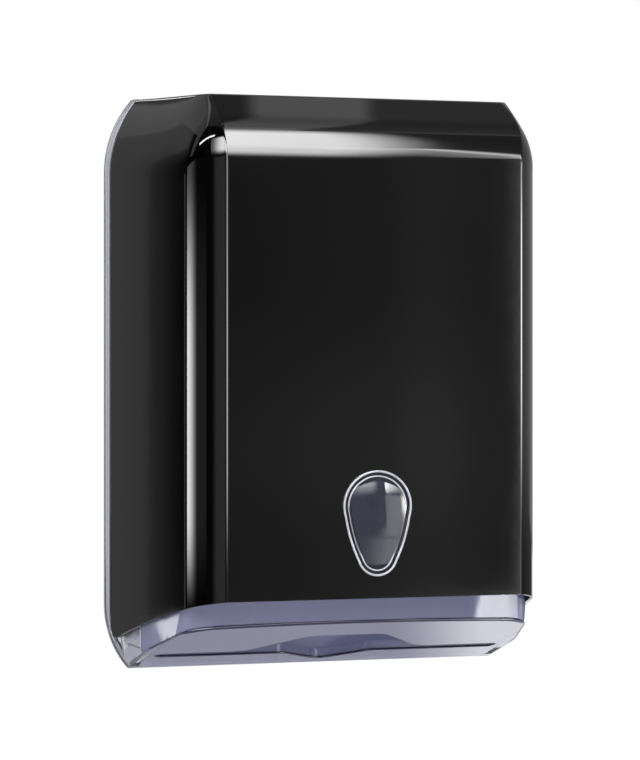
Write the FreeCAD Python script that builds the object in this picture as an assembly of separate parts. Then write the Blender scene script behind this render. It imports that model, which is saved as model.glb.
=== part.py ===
import FreeCAD, Part
import math
import os

os.makedirs("parts", exist_ok=True)

# Wall dispenser for folded paper towels.
# X runs across, Y = -depth from the wall (the wall is Y = 0), Z is up.
# Heights below are measured from the lowest point; the export moves the screw pattern centre to Z = 0.

# ---- overall sizes (mm)
HEIGHT = 370.0            # lowest point to the top edge at the rear
PLATE_REVEAL = 1.0        # back plate beyond the cover at each side
DEPTH = 134.0             # wall to the flat of the cover front
SCREW_H = 205.0           # height of the wall-screw pattern centre

COVER_HALF = 140.6        # half width of the cover carried back to the wall
COVER_TAPER = 0.24        # width lost per side for each mm of depth
TOP_LEVEL = HEIGHT + 30.0  # clear above everything

# ---- back plate
PANEL_T = 2.4             # wall panel
RIM_T = 2.2               # rim round the panel
RIM_D = 6.7               # rim depth
RIM_TAPER = 0.24
RIM_END_H = 17.0          # lower end of the side rims
TOP_ARC_R = 72.0          # upper corner arcs of the panel
TOP_ARC_DROP = 48.0       # arc start below the top edge
LOW_ARC_R = 64.0          # lower corner arcs
LOW_ARC_H = 42.0          # arc start above the lowest point
LOW_TAPER = 0.20          # taper of the cheeks
CHEEK_D = 42.0            # depth of the lower cheeks
CHEEK_H = 48.0            # height of the lower cheeks
CHEEK_T = 2.2
CHEEK_IN = 0.4            # set-back of the cheeks from the plate edge
SCREW_DX = 190.0          # wall-screw pattern
SCREW_DZ = 230.0
SCREW_HOLE_R = 2.75
SCREW_PAD_R = 8.0
SCREW_PAD_T = 1.6

# ---- front cover
COVER_T = 2.3
COVER_BACK = 7.3          # rear edge of the cover from the wall
COVER_ARC_R = 75.0        # upper corner arcs
COVER_ARC_LEAN = 0.063    # the arc centres sink with depth
TOP_DROP = 3.9            # fall of the top towards the front
SLOPE_D = 32.0            # depth of the upper front slope with its brow
TOP_FRONT_D = DEPTH - SLOPE_D
SLOPE_DEG = 37.0          # upper front slope below the horizontal
BROW_R = 34.0             # roll from slope to front
LIP_H = 53.0              # lower edge of the front
LIP_MID_D = DEPTH - 61.0  # a point on the lower side edge
LIP_MID_H = 39.3
COVER_ARC_MID = 28.0      # upper corner arc: its middle and end, in degrees
COVER_ARC_END = 56.0
FLANK_W = 11.84           # width of the rounded flank beside the front panel
CREASE_X = COVER_HALF - COVER_TAPER * DEPTH - FLANK_W
FLANK_R = 59.0
FLANK_DEG = 40.0          # its turn at the crease
FLANK_LEAD = 14.0         # the arc starts this far before the crease
FLANK_MID = 11.0          # a point on the arc after the crease
FLANK_END = 76.0          # its turn at the end
CREASE_R = 2.5            # softening of the crease

# ---- tray
TRAY_T = 2.2
TRAY_FIT = 0.35           # gap between tray walls and cover wall
TRAY_SEAM = 0.3           # gap between tray and back plate
TRAY_EDGE_D = DEPTH - 22.6  # lower front edge
TRAY_EDGE_H = 36.3
TRAY_EDGE_BOW = 6.0       # set-back of the front edge at the corners
TRAY_CORNER_X = COVER_HALF - 43.6
TRAY_SIDE_D = DEPTH - 56.0  # where the corner arc meets the side
TRAY_SIDE_X = COVER_HALF - 20.8
TRAY_BOW_X = 4.6          # bow of the corner arc
TRAY_BOW_D = 3.9
TRAY_RUN_X = 24.0         # spread of the tray side towards the wall, over TRAY_RUN_D
TRAY_RUN_D = 80.0
TRAY_TOP_H = 60.0
TRAY_LEAN = 0.20
SIDE_LEAN = 0.35          # share of the front's lean at the sides and corners
CORNER_LEAN = 0.30
FLOOR_BACK_D = 2.0        # depth at which the floor reaches the lowest point
SLOT_HALF = COVER_HALF - 23.2
SLOT_D0 = 32.0            # rear edge of the slot
SLOT_W = 8.0
CUT_D = 77.5              # front of the finger cut-out
CUT_TOP_HALF = 20.0       # its flat end
CUT_HALF = 68.0           # half width where it leaves the slot
NOTCH_D = 14.5            # rear notch
NOTCH_HALF = 34.0
# bends of the notch and the cut-out: offsets from their ends across and in depth
NOTCH_TIP_X, NOTCH_TIP_D = 9.0, 3.2
NOTCH_RUN, NOTCH_STEP_D = 11.0, 5.0
NOTCH_BEND_X, NOTCH_BEND_D = 6.0, 1.3
CUT_BEND_X, CUT_BEND_D = 10.0, 2.6
CUT_FOOT_X, CUT_FOOT_D = 18.0, 10.0
CUT_HEAD_X, CUT_HEAD_D = 11.0, 6.5
CUT_HEAD_BOW = 1.8
CUT_HEAD_IN = 3.0
LIP_T = 1.8               # upstand round the rear of the slot
LIP_UP = 3.6
LIP_ROUND = 1.5           # upstand carried round the slot ends
GUIDE_X = COVER_HALF - 22.8  # paper guides inside the tray
GUIDE_T = 1.8
GUIDE_FIT = 1.0           # clearance between guide and cover wall
GUIDE_D0 = 20.0
GUIDE_DROP = 6.0          # guide top below the tray top
FLANGE_D = 8.2            # upright flange that is screwed to the back plate
FLANGE_HALF = COVER_HALF - 28.6
FLANGE_T = 2.4
FLANGE_H = 56.0
TRAY_SCREW_X = 82.0
TRAY_SCREW_H = FLANGE_H - 6.5
TRAY_SCREW_R = 1.9
TRAY_SCREW_FIT = 0.3
TRAY_SCREW_TIP = 2.0      # screw tip from the wall
TRAY_BOSS_R = 4.5
TRAY_HEAD_R = 3.8
TRAY_HEAD_T = 2.0
CROSS_L = 2.3             # half length and half width of the cross recess
CROSS_W = 0.45

# ---- window
WIN_TOP_R = 22.5
WIN_TOP_H = 110.0
WIN_LOW_R = 13.5
WIN_LOW_H = 80.1
WIN_BULGE = 1.1           # bow of the flanks
WIN_FLANGE = 1.2
WIN_STEP = 1.9            # flange overlap on the cover
WIN_FIT = 0.1
WIN_GROOVE = 1.6
WIN_SPHERE_R = 120.0
WIN_RISE = 3.2
WIN_WALL = 1.8
WIN_LAND = 0.35           # bottom of the groove inside the rim, above the cover
WIN_PLUG = 1.6            # plug behind the cover wall
WIN_CROWN = 4.5           # top of the dome above the middle of the window
WIN_CLIP_H = 4.0          # half height of the clips
WIN_CLIP_FIT = 0.15
WIN_CLIP_UP = 4.0         # clips above the arc centres
WIN_CLIP_LOW_UP = 2.0
WIN_CLIP_REACH = 1.0      # clips past the edge of the hole

# ---- hinge
HINGE_D = 13.0
HINGE_H = 27.0
HINGE_PIN_R = 2.5
HINGE_FIT = 0.08
HINGE_EYE_R = HINGE_D - COVER_BACK
LUG_X0 = COVER_HALF - 19.8
LUG_T = 4.6
LUG_R = 5.6
LUG_FOOT_LOW = 10.0       # reach of the lug foot below and above the hinge axis
LUG_FOOT_HIGH = 12.0
BOSS_GAP = 0.5
BOSS_SINK = 0.8           # boss sunk into the side wall of the cover
BORE_END = 1.2            # wall left behind the blind pin bore
PIN_GAP = 0.3             # pin end to the bottom of the bore
SWING_FIT = 0.5           # clearance round the swinging side wall
EYE_SIDE_FIT = 0.1        # cheek beside the lug
RIM_FIT = 0.4             # cheek in front of the rear edge of the cover
SWING_D = 26.0            # depth to which the swinging wall reaches the cheeks
PIN_HEAD_R = 4.0
PIN_HEAD_T = 1.6

# ---- lock on the top of the cover
LOCK_D = 22.0
LOCK_BODY_R = 8.0
LOCK_COLLAR_R = 11.0
LOCK_COLLAR_T = 1.4
LOCK_COLLAR_IN = 1.0      # collar inside its seat
LOCK_LEN = 20.0
LOCK_NUT_R = 12.0
LOCK_NUT_T = 3.0
LOCK_PAD_T = 1.2          # pad under the top wall
LOCK_PAD_EDGE = 1.0       # pad beyond the nut
LOCK_SEAT = 0.2           # seat cut below the lowest edge of the top under the collar
LOCK_FIT = 0.1
NOTCH_OUT = 1.06          # notch centres at this share of the nut radius
LOCK_NOTCH_R = 2.0        # spanner notches round the nut
CORE_R = 5.5
CORE_FIT = 0.06
CORE_CAP_R = 7.0
CORE_CAP_T = 1.2
KEY_W = 1.8
KEY_L = 7.0
KEY_DEEP = 9.0
CAM_T = 2.4
CAM_REACH = 14.0
CAM_HALF = 4.0
CAM_BORE_AF = 6.0         # square on the core tail
CAM_SCREW_R = 1.5
CAM_HUB_R = 6.4
SCREW_HEAD_R = 3.9
SCREW_HEAD_T = 1.8
SCREW_LEN = 6.0
KEEPER_X0 = 8.4
KEEPER_X1 = 16.4
KEEPER_GAP = 0.8          # post to the turned cam
KEEPER_T = 3.0
KEEPER_DROP = 5.5         # top of the keeper arm below the cam
KEEPER_ARM_T = 2.5
KEEPER_LIP = 1.5          # post above the cam
KEEPER_WEB_T = 2.4
KEEPER_WEB_H = 16.0

# ---- stiffening ribs up the panel
RIB_X = 62.0
RIB_T = 1.8
RIB_D = 4.4
RIB_LOW = 60.0
RIB_TOP = 40.0            # rib end below the top edge

TAN_SLOPE = math.tan(math.radians(SLOPE_DEG))
SIN_SLOPE = math.sin(math.radians(SLOPE_DEG))
COS_SLOPE = math.cos(math.radians(SLOPE_DEG))
FLOOR_SLOPE = TRAY_EDGE_H / (TRAY_EDGE_D - FLOOR_BACK_D)
TOP_SLOPE = TOP_DROP / TOP_FRONT_D
BIG = 400.0
PAST = 20.0               # reach of construction forms past the faces they make
SINK = 1.0                # depth to which bosses, pads and webs start inside a wall
CUT = 1.0                 # reach of cutters past the faces they open


def vec(x, d, z):
    return FreeCAD.Vector(x, -d, z)


def line(a, b):
    return Part.LineSegment(vec(*a), vec(*b)).toShape()


def arc(a, m, b):
    return Part.Arc(vec(*a), vec(*m), vec(*b)).toShape()


def wire(edges):
    return Part.Wire(edges)


def prism(edges, direction):
    return Part.Face(wire(edges)).extrude(direction)


def poly_prism(points, direction):
    edges = [line(p, q) for p, q in zip(points, points[1:] + points[:1])]
    return prism(edges, direction)


def box(x0, x1, d0, d1, z0, z1):
    return Part.makeBox(x1 - x0, d1 - d0, z1 - z0, vec(x0, d1, z0))


def rod_x(x0, x1, d, z, r):
    return Part.makeCylinder(r, x1 - x0, vec(x0, d, z), FreeCAD.Vector(1, 0, 0))


def rod_d(x, z, d0, d1, r):
    return Part.makeCylinder(r, d1 - d0, vec(x, d0, z), FreeCAD.Vector(0, -1, 0))


def rod_z(x, d, z0, z1, r):
    return Part.makeCylinder(r, z1 - z0, vec(x, d, z0), FreeCAD.Vector(0, 0, 1))


def mirror_x(shape):
    return shape.mirror(FreeCAD.Vector(0, 0, 0), FreeCAD.Vector(1, 0, 0))


# ---------------------------------------------------------------- outer forms
def cover_ring(d, inset):
    # Front-view outline of the cover at depth d; it runs past the top and the lower edge.
    half = COVER_HALF - COVER_TAPER * d - inset
    r = COVER_ARC_R - inset
    zc = HEIGHT - TOP_ARC_DROP - COVER_ARC_LEAN * d
    a_mid, a_end = math.radians(COVER_ARC_MID), math.radians(COVER_ARC_END)
    mid = (half - r + r * math.cos(a_mid), zc + r * math.sin(a_mid))
    end = (half - r + r * math.cos(a_end), zc + r * math.sin(a_end))
    low = -PAST / 2
    return wire([
        line((-half, d, low), (half, d, low)),
        line((half, d, low), (half, d, zc)),
        arc((half, d, zc), (mid[0], d, mid[1]), (end[0], d, end[1])),
        line((end[0], d, end[1]), (-end[0], d, end[1])),
        arc((-end[0], d, end[1]), (-mid[0], d, mid[1]), (-half, d, zc)),
        line((-half, d, zc), (-half, d, low))])


def cover_side(inset, back, closed):
    # Side-view outline: top, slope, brow, front, lower edge.
    top_back = (back, HEIGHT - TOP_SLOPE * back - inset)
    knee_h = HEIGHT - TOP_DROP
    shift = inset / math.cos(math.radians(SLOPE_DEG))
    knee_d = TOP_FRONT_D
    slope_h0 = knee_h - shift
    front = DEPTH - inset
    r = BROW_R - inset
    cd = front - r
    td = cd + r * SIN_SLOPE
    th = slope_h0 - (td - knee_d) * TAN_SLOPE
    ch = th - r * COS_SLOPE
    # where the inset top line meets the inset slope line
    kd = (HEIGHT - inset - slope_h0 - knee_d * TAN_SLOPE) / (TOP_SLOPE - TAN_SLOPE)
    kh = HEIGHT - inset - TOP_SLOPE * kd
    a = math.radians((90.0 - SLOPE_DEG) / 2.0)
    mid = (cd + r * math.cos(a), ch + r * math.sin(a))
    edges = [line((-BIG / 2, top_back[0], top_back[1]), (-BIG / 2, kd, kh)),
             line((-BIG / 2, kd, kh), (-BIG / 2, td, th)),
             arc((-BIG / 2, td, th), (-BIG / 2, mid[0], mid[1]), (-BIG / 2, front, ch))]
    if closed:
        eye = HINGE_EYE_R
        foot = (HINGE_D, HINGE_H - eye)
        diag = eye * math.sqrt(0.5)
        edges += [line((-BIG / 2, front, ch), (-BIG / 2, front, LIP_H)),
                  arc((-BIG / 2, front, LIP_H), (-BIG / 2, LIP_MID_D, LIP_MID_H),
                      (-BIG / 2, foot[0], foot[1])),
                  arc((-BIG / 2, foot[0], foot[1]),
                      (-BIG / 2, HINGE_D - diag, HINGE_H - diag),
                      (-BIG / 2, HINGE_D - eye, HINGE_H)),
                  line((-BIG / 2, back, HINGE_H), (-BIG / 2, top_back[0], top_back[1]))]
    else:
        edges += [line((-BIG / 2, front, ch), (-BIG / 2, front, -PAST)),
                  line((-BIG / 2, front, -PAST), (-BIG / 2, back, -PAST)),
                  line((-BIG / 2, back, -PAST), (-BIG / 2, top_back[0], top_back[1]))]
    return prism(edges, FreeCAD.Vector(BIG, 0, 0))


def flank_points(inset):
    # Flank arc beside the panel, as (x, w): w is the height above the panel surface.
    r = FLANK_R
    a0 = math.radians(FLANK_DEG)
    cx = CREASE_X - r * math.sin(a0)
    cw = -r * math.cos(a0)
    pts = []
    for deg in (FLANK_DEG - FLANK_LEAD, FLANK_DEG + FLANK_MID, FLANK_END):
        a = math.radians(deg)
        pts.append((cx + (r - inset) * math.sin(a), cw + (r - inset) * math.cos(a)))
    return pts


def flank_prism(inset, base, along, normal, length):
    # Solid bounded by both flank arcs, running along one direction of the panel.
    p0, p1, p2 = flank_points(inset)

    def at(x, w):
        return FreeCAD.Vector(x, 0, 0) + base + normal * w

    def seg(a, b):
        return Part.LineSegment(at(*a), at(*b)).toShape()

    def bow(a, m, b):
        return Part.Arc(at(*a), at(*m), at(*b)).toShape()

    far = (BIG / 2, p2[1])
    deep = (BIG / 2, -BIG)
    edges = [seg((-p0[0], p0[1]), p0), bow(p0, p1, p2), seg(p2, far), seg(far, deep),
             seg(deep, (-deep[0], deep[1])), seg((-deep[0], deep[1]), (-far[0], far[1])),
             seg((-far[0], far[1]), (-p2[0], p2[1])),
             bow((-p2[0], p2[1]), (-p1[0], p1[1]), (-p0[0], p0[1]))]
    return Part.Face(Part.Wire(edges)).extrude(along * length)


def cover_form(inset, back, closed):
    loft = Part.makeLoft([cover_ring(back - 2 * CUT, inset), cover_ring(DEPTH + PAST, inset)], True, True)
    body = loft.common(cover_side(inset, back, closed))
    front = flank_prism(inset, vec(0, DEPTH, -2 * PAST), FreeCAD.Vector(0, 0, 1),
                        FreeCAD.Vector(0, -1, 0), 2 * BIG)
    down = FreeCAD.Vector(0, -COS_SLOPE, -SIN_SLOPE)
    up = FreeCAD.Vector(0, -SIN_SLOPE, COS_SLOPE)
    start = vec(0, TOP_FRONT_D, HEIGHT - TOP_DROP) - down * BIG
    slope = flank_prism(inset, start, down, up, 2 * BIG)
    return body.common(front).common(slope)


def plate_ring(d, half, inset):
    # Outline of the back plate: flat top, rounded corners, flat foot.
    rt, rl = TOP_ARC_R - inset, LOW_ARC_R - inset
    zt, zl = HEIGHT - TOP_ARC_DROP, LOW_ARC_H
    top, low = HEIGHT - inset, inset
    at = math.asin((top - zt) / rt)
    al = math.asin((zl - low) / rl)
    xt = half - rt + rt * math.cos(at)
    xl = half - rl + rl * math.cos(al)
    mt = (half - rt + rt * math.cos(at / 2), zt + rt * math.sin(at / 2))
    ml = (half - rl + rl * math.cos(al / 2), zl - rl * math.sin(al / 2))
    return wire([
        line((-xl, d, low), (xl, d, low)),
        arc((xl, d, low), (ml[0], d, ml[1]), (half, d, zl)),
        line((half, d, zl), (half, d, zt)),
        arc((half, d, zt), (mt[0], d, mt[1]), (xt, d, top)),
        line((xt, d, top), (-xt, d, top)),
        arc((-xt, d, top), (-mt[0], d, mt[1]), (-half, d, zt)),
        line((-half, d, zt), (-half, d, zl)),
        arc((-half, d, zl), (-ml[0], d, ml[1]), (-xl, d, low))])


def plate_form(d0, d1, taper, inset):
    half = COVER_HALF + PLATE_REVEAL
    return Part.makeLoft([plate_ring(d0, half - taper * d0 - inset, inset),
                          plate_ring(d1, half - taper * d1 - inset, inset)], True, True)


def limit_form(inset):
    # Straight-sided limit just inside the cover walls.
    gap = COVER_T + TRAY_FIT + inset
    rear, far = COVER_HALF - gap, DEPTH + PAST
    fore = rear - COVER_TAPER * far
    pts = [(-rear, 0, -PAST), (rear, 0, -PAST), (fore, far, -PAST), (-fore, far, -PAST)]
    return poly_prism(pts, FreeCAD.Vector(0, 0, BIG))


def tray_plan(z, inset):
    # Plan outline of the tray front at height z.
    f = TRAY_LEAN * (z - TRAY_EDGE_H) - inset
    side = (TRAY_SIDE_X + SIDE_LEAN * f, TRAY_SIDE_D)
    out = (side[0] + TRAY_RUN_X, TRAY_SIDE_D - TRAY_RUN_D)
    corner = (TRAY_CORNER_X + CORNER_LEAN * f, TRAY_EDGE_D - TRAY_EDGE_BOW + f)
    cx, cd = (side[0] + corner[0]) / 2, (side[1] + corner[1]) / 2
    mid = (cx + TRAY_BOW_X, cd + TRAY_BOW_D)
    wide = COVER_HALF + PAST
    return wire([
        line((-wide, -PAST, z), (wide, -PAST, z)),
        line((wide, -PAST, z), (out[0], out[1], z)),
        line((out[0], out[1], z), (side[0], side[1], z)),
        arc((side[0], side[1], z), (mid[0], mid[1], z), (corner[0], corner[1], z)),
        arc((corner[0], corner[1], z), (0, TRAY_EDGE_D + f, z), (-corner[0], corner[1], z)),
        arc((-corner[0], corner[1], z), (-mid[0], mid[1], z), (-side[0], side[1], z)),
        line((-side[0], side[1], z), (-out[0], out[1], z)),
        line((-out[0], out[1], z), (-wide, -PAST, z))])


def floor_h(d):
    return FLOOR_SLOPE * (d - FLOOR_BACK_D)


def above_floor(rise, d0):
    # Everything above the sloping floor surface, lifted by rise.
    far = DEPTH + PAST
    pts = [(-BIG / 2, d0, floor_h(d0) + rise), (-BIG / 2, far, floor_h(far) + rise),
           (-BIG / 2, far, TOP_LEVEL), (-BIG / 2, d0, TOP_LEVEL)]
    return poly_prism(pts, FreeCAD.Vector(BIG, 0, 0))


def tray_form(inset):
    low = plate_form(-PAST, DEPTH + PAST, LOW_TAPER, inset)
    plan = Part.makeLoft([tray_plan(-PAST, inset), tray_plan(TRAY_TOP_H + PAST, inset)], True, True)
    return low.common(limit_form(inset)).common(plan)


# ---------------------------------------------------------------- front cover
outer = cover_form(0.0, COVER_BACK, True)
creases = []
for e in outer.Edges:
    pts = [e.valueAt(e.FirstParameter + (e.LastParameter - e.FirstParameter) * k / 4.0)
           for k in range(5)]
    if all(abs(abs(p.x) - CREASE_X) < 0.05 for p in pts) and e.Length > CREASE_R:
        creases.append(e)
outer = outer.makeFillet(CREASE_R, creases)
inner = cover_form(COVER_T, -PAST, False)
cover = outer.cut(inner)


def teardrop(offset, d0, d1):
    # Two circles joined by slightly bowed flanks.
    r1, r2 = WIN_TOP_R + offset, WIN_LOW_R + offset
    a = math.asin((r1 - r2) / (WIN_TOP_H - WIN_LOW_H))
    ca, sa = math.cos(a), math.sin(a)
    p1 = (r1 * ca, WIN_TOP_H - r1 * sa)
    p2 = (r2 * ca, WIN_LOW_H - r2 * sa)
    pm = ((p1[0] + p2[0]) / 2 + WIN_BULGE * ca, (p1[1] + p2[1]) / 2 - WIN_BULGE * sa)
    edges = [arc((p1[0], d0, p1[1]), (0, d0, WIN_TOP_H + r1), (-p1[0], d0, p1[1])),
             arc((-p1[0], d0, p1[1]), (-pm[0], d0, pm[1]), (-p2[0], d0, p2[1])),
             arc((-p2[0], d0, p2[1]), (0, d0, WIN_LOW_H - r2), (p2[0], d0, p2[1])),
             arc((p2[0], d0, p2[1]), (pm[0], d0, pm[1]), (p1[0], d0, p1[1]))]
    return prism(edges, FreeCAD.Vector(0, -(d1 - d0), 0))


cover = cover.cut(teardrop(-WIN_STEP, DEPTH - COVER_T - CUT, DEPTH + CUT))

# hinge bosses inside the side walls
for s in (-1, 1):
    x_in = LUG_X0 + LUG_T + BOSS_GAP
    x_wall = COVER_HALF - COVER_TAPER * HINGE_D - COVER_T + BOSS_SINK
    boss = rod_x(x_in, x_wall, HINGE_D, HINGE_H, HINGE_EYE_R)
    bore = rod_x(x_in - CUT, x_wall - BORE_END, HINGE_D, HINGE_H, HINGE_PIN_R + HINGE_FIT)
    if s < 0:
        boss, bore = mirror_x(boss), mirror_x(bore)
    cover = cover.fuse(boss).cut(bore)

# lock seat: a flat pad inside the top and the barrel hole
lock_top = HEIGHT - TOP_SLOPE * LOCK_D
pad_low = lock_top - COVER_T - LOCK_PAD_T
pad = rod_z(0, LOCK_D, pad_low, lock_top - SINK, LOCK_NUT_R + LOCK_PAD_EDGE)
pad = pad.cut(box(-BIG / 2, BIG / 2, -PAST, COVER_BACK, 0, TOP_LEVEL))
cover = cover.fuse(pad)
seat_h = HEIGHT - TOP_SLOPE * (LOCK_D + LOCK_COLLAR_R) - LOCK_SEAT
cover = cover.cut(rod_z(0, LOCK_D, seat_h, TOP_LEVEL, LOCK_COLLAR_R + LOCK_FIT))
cover = cover.cut(rod_z(0, LOCK_D, pad_low - CUT, TOP_LEVEL, LOCK_BODY_R + LOCK_FIT))
cover = cover.removeSplitter()

# ---------------------------------------------------------------- level window
flange_d = DEPTH + WIN_FLANGE
window = teardrop(0.0, DEPTH, flange_d)
window = window.cut(teardrop(-WIN_STEP, DEPTH + WIN_LAND, flange_d + CUT))
plug_back = DEPTH - COVER_T - WIN_PLUG
window = window.fuse(teardrop(-WIN_STEP - WIN_FIT, plug_back, DEPTH + WIN_LAND + 0.05))
dome_off = -WIN_STEP - WIN_FIT - WIN_GROOVE
dome = teardrop(dome_off, DEPTH - SINK / 2, DEPTH + WIN_RISE + CUT)
ball_h = (WIN_TOP_H + WIN_LOW_H) / 2 + WIN_CROWN
ball = Part.makeSphere(WIN_SPHERE_R, vec(0, DEPTH + WIN_RISE - WIN_SPHERE_R, ball_h))
window = window.fuse(dome.common(ball))
hollow = teardrop(dome_off - WIN_WALL, plug_back - CUT, DEPTH + WIN_RISE + CUT)
core = Part.makeSphere(WIN_SPHERE_R - WIN_WALL, vec(0, DEPTH + WIN_RISE - WIN_SPHERE_R, ball_h))
window = window.cut(hollow.common(core))
for z in (WIN_TOP_H + WIN_CLIP_UP, WIN_LOW_H + WIN_CLIP_LOW_UP):
    clip = box(-WIN_TOP_R, WIN_TOP_R, plug_back, DEPTH - COVER_T - WIN_CLIP_FIT,
               z - WIN_CLIP_H, z + WIN_CLIP_H)
    clip = clip.common(teardrop(WIN_CLIP_REACH - WIN_STEP, plug_back - CUT, DEPTH))
    window = window.fuse(clip.cut(teardrop(dome_off, plug_back - 2 * CUT, DEPTH + CUT)))
window = window.removeSplitter()

# ---------------------------------------------------------------- back plate
plate = plate_form(0.0, RIM_D, RIM_TAPER, 0.0)
pocket = plate_form(-CUT, RIM_D + CUT, RIM_TAPER, RIM_T)
pocket = pocket.common(box(-BIG, BIG, PANEL_T, PAST, -PAST, TOP_LEVEL))
plate = plate.cut(pocket).cut(box(-BIG, BIG, PANEL_T, PAST, -PAST, RIM_END_H))

# cheeks at both sides of the foot
form = tray_form(CHEEK_IN)
form_in = tray_form(CHEEK_IN + CHEEK_T)
cheek = form.cut(form_in).common(above_floor(0.0, -PAST))
cheek = cheek.common(box(LUG_X0, BIG, SINK, CHEEK_D, -PAST, CHEEK_H))
floor_band = form.common(above_floor(0.0, -PAST)).cut(above_floor(CHEEK_T, -PAST))
foot = floor_band.common(box(LUG_X0, BIG, SINK, CHEEK_D, -PAST, CHEEK_H))
cheek = cheek.fuse(foot)
eye_room = rod_x(LUG_X0 + LUG_T + EYE_SIDE_FIT, BIG, HINGE_D, HINGE_H, HINGE_EYE_R + SWING_FIT)
cheek = cheek.cut(eye_room)
cheek = cheek.cut(box(LUG_X0 - CUT, BIG, -CUT, COVER_BACK + RIM_FIT, RIM_END_H + SINK, TRAY_TOP_H))

# room for the side wall of the cover, which swings down through the cheeks
tip_x = COVER_HALF - COVER_TAPER * HINGE_D - COVER_T - SWING_FIT
reach = SWING_D + HINGE_D
still = Part.makeCone(reach, 0.0, COVER_TAPER * reach, vec(tip_x - COVER_TAPER * reach, HINGE_D, HINGE_H),
                      FreeCAD.Vector(1, 0, 0))
swing = []
for z in (0.0, HINGE_H):
    swing.append((COVER_HALF - COVER_TAPER * (HINGE_D + HINGE_H - z) + SWING_FIT, COVER_BACK, z))
swing = [(LUG_X0, COVER_BACK, 0.0), swing[0], swing[1], (LUG_X0, COVER_BACK, HINGE_H)]
swing_room = poly_prism(swing, FreeCAD.Vector(0, COVER_BACK - SWING_D, 0)).cut(still)
cheek = cheek.cut(swing_room)
plate = plate.fuse(cheek).fuse(mirror_x(cheek))

# hinge lugs
lug = rod_x(LUG_X0, LUG_X0 + LUG_T, HINGE_D, HINGE_H, LUG_R)
lug = lug.fuse(poly_prism([(LUG_X0, SINK, HINGE_H - LUG_FOOT_LOW), (LUG_X0, HINGE_D, HINGE_H - LUG_R),
                           (LUG_X0, HINGE_D, HINGE_H + LUG_R), (LUG_X0, SINK, HINGE_H + LUG_FOOT_HIGH)],
                          FreeCAD.Vector(LUG_T, 0, 0)))
lug = lug.cut(rod_x(LUG_X0 - CUT, LUG_X0 + LUG_T + CUT, HINGE_D, HINGE_H, HINGE_PIN_R))
plate = plate.fuse(lug).fuse(mirror_x(lug))

# screw bosses for the tray
for s in (-1, 1):
    x = s * TRAY_SCREW_X
    plate = plate.fuse(rod_d(x, TRAY_SCREW_H, SINK, FLANGE_D, TRAY_BOSS_R))
    plate = plate.cut(rod_d(x, TRAY_SCREW_H, BORE_END, FLANGE_D + CUT, TRAY_SCREW_R))

# keeper for the lock cam
cam_top = lock_top - LOCK_LEN - CORE_CAP_T
cam_low = cam_top - CAM_T
post_d = LOCK_D + CAM_HALF + KEEPER_GAP
arm_top = cam_low - KEEPER_DROP
arm_low = arm_top - KEEPER_ARM_T
web_top = arm_low + SINK
keeper = box(KEEPER_X0, KEEPER_X1, SINK, post_d + KEEPER_T, arm_low, arm_top)
keeper = keeper.fuse(box(KEEPER_X0, KEEPER_X1, post_d, post_d + KEEPER_T, arm_low,
                         cam_top + KEEPER_LIP))
keeper = keeper.fuse(poly_prism([(KEEPER_X0, SINK, arm_low - KEEPER_WEB_H), (KEEPER_X0, post_d, web_top),
                                 (KEEPER_X0, SINK, web_top)], FreeCAD.Vector(KEEPER_WEB_T, 0, 0)))
plate = plate.fuse(keeper)

# wall-screw pads and holes
for sx in (-1, 1):
    for sz in (-1, 1):
        x, z = sx * SCREW_DX / 2, SCREW_H + sz * SCREW_DZ / 2
        plate = plate.fuse(rod_d(x, z, SINK, PANEL_T + SCREW_PAD_T, SCREW_PAD_R))
for sx in (-1, 1):
    for sz in (-1, 1):
        x, z = sx * SCREW_DX / 2, SCREW_H + sz * SCREW_DZ / 2
        plate = plate.cut(rod_d(x, z, -CUT, PANEL_T + SCREW_PAD_T + CUT, SCREW_HOLE_R))

# stiffening ribs up the panel
for s in (-1, 1):
    plate = plate.fuse(box(s * RIB_X - RIB_T / 2, s * RIB_X + RIB_T / 2, SINK, RIB_D, RIB_LOW,
                           HEIGHT - RIB_TOP))
plate = plate.removeSplitter()

# ---------------------------------------------------------------- bottom tray
shell = tray_form(0.0).common(above_floor(0.0, PANEL_T + TRAY_SEAM))
hollow = tray_form(TRAY_T).common(above_floor(TRAY_T, -PAST))
shell = shell.cut(hollow)
shell = shell.cut(box(-BIG, BIG, -PAST, BIG, TRAY_TOP_H, TOP_LEVEL))
shell = shell.cut(box(-BIG, BIG, -PAST, CHEEK_D + TRAY_SEAM, TRAY_EDGE_H, TOP_LEVEL))
side_room = box(LUG_X0 - TRAY_SEAM, BIG, -PAST, CHEEK_D + TRAY_SEAM, -PAST, TOP_LEVEL)
shell = shell.cut(side_room).cut(mirror_x(side_room))


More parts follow.
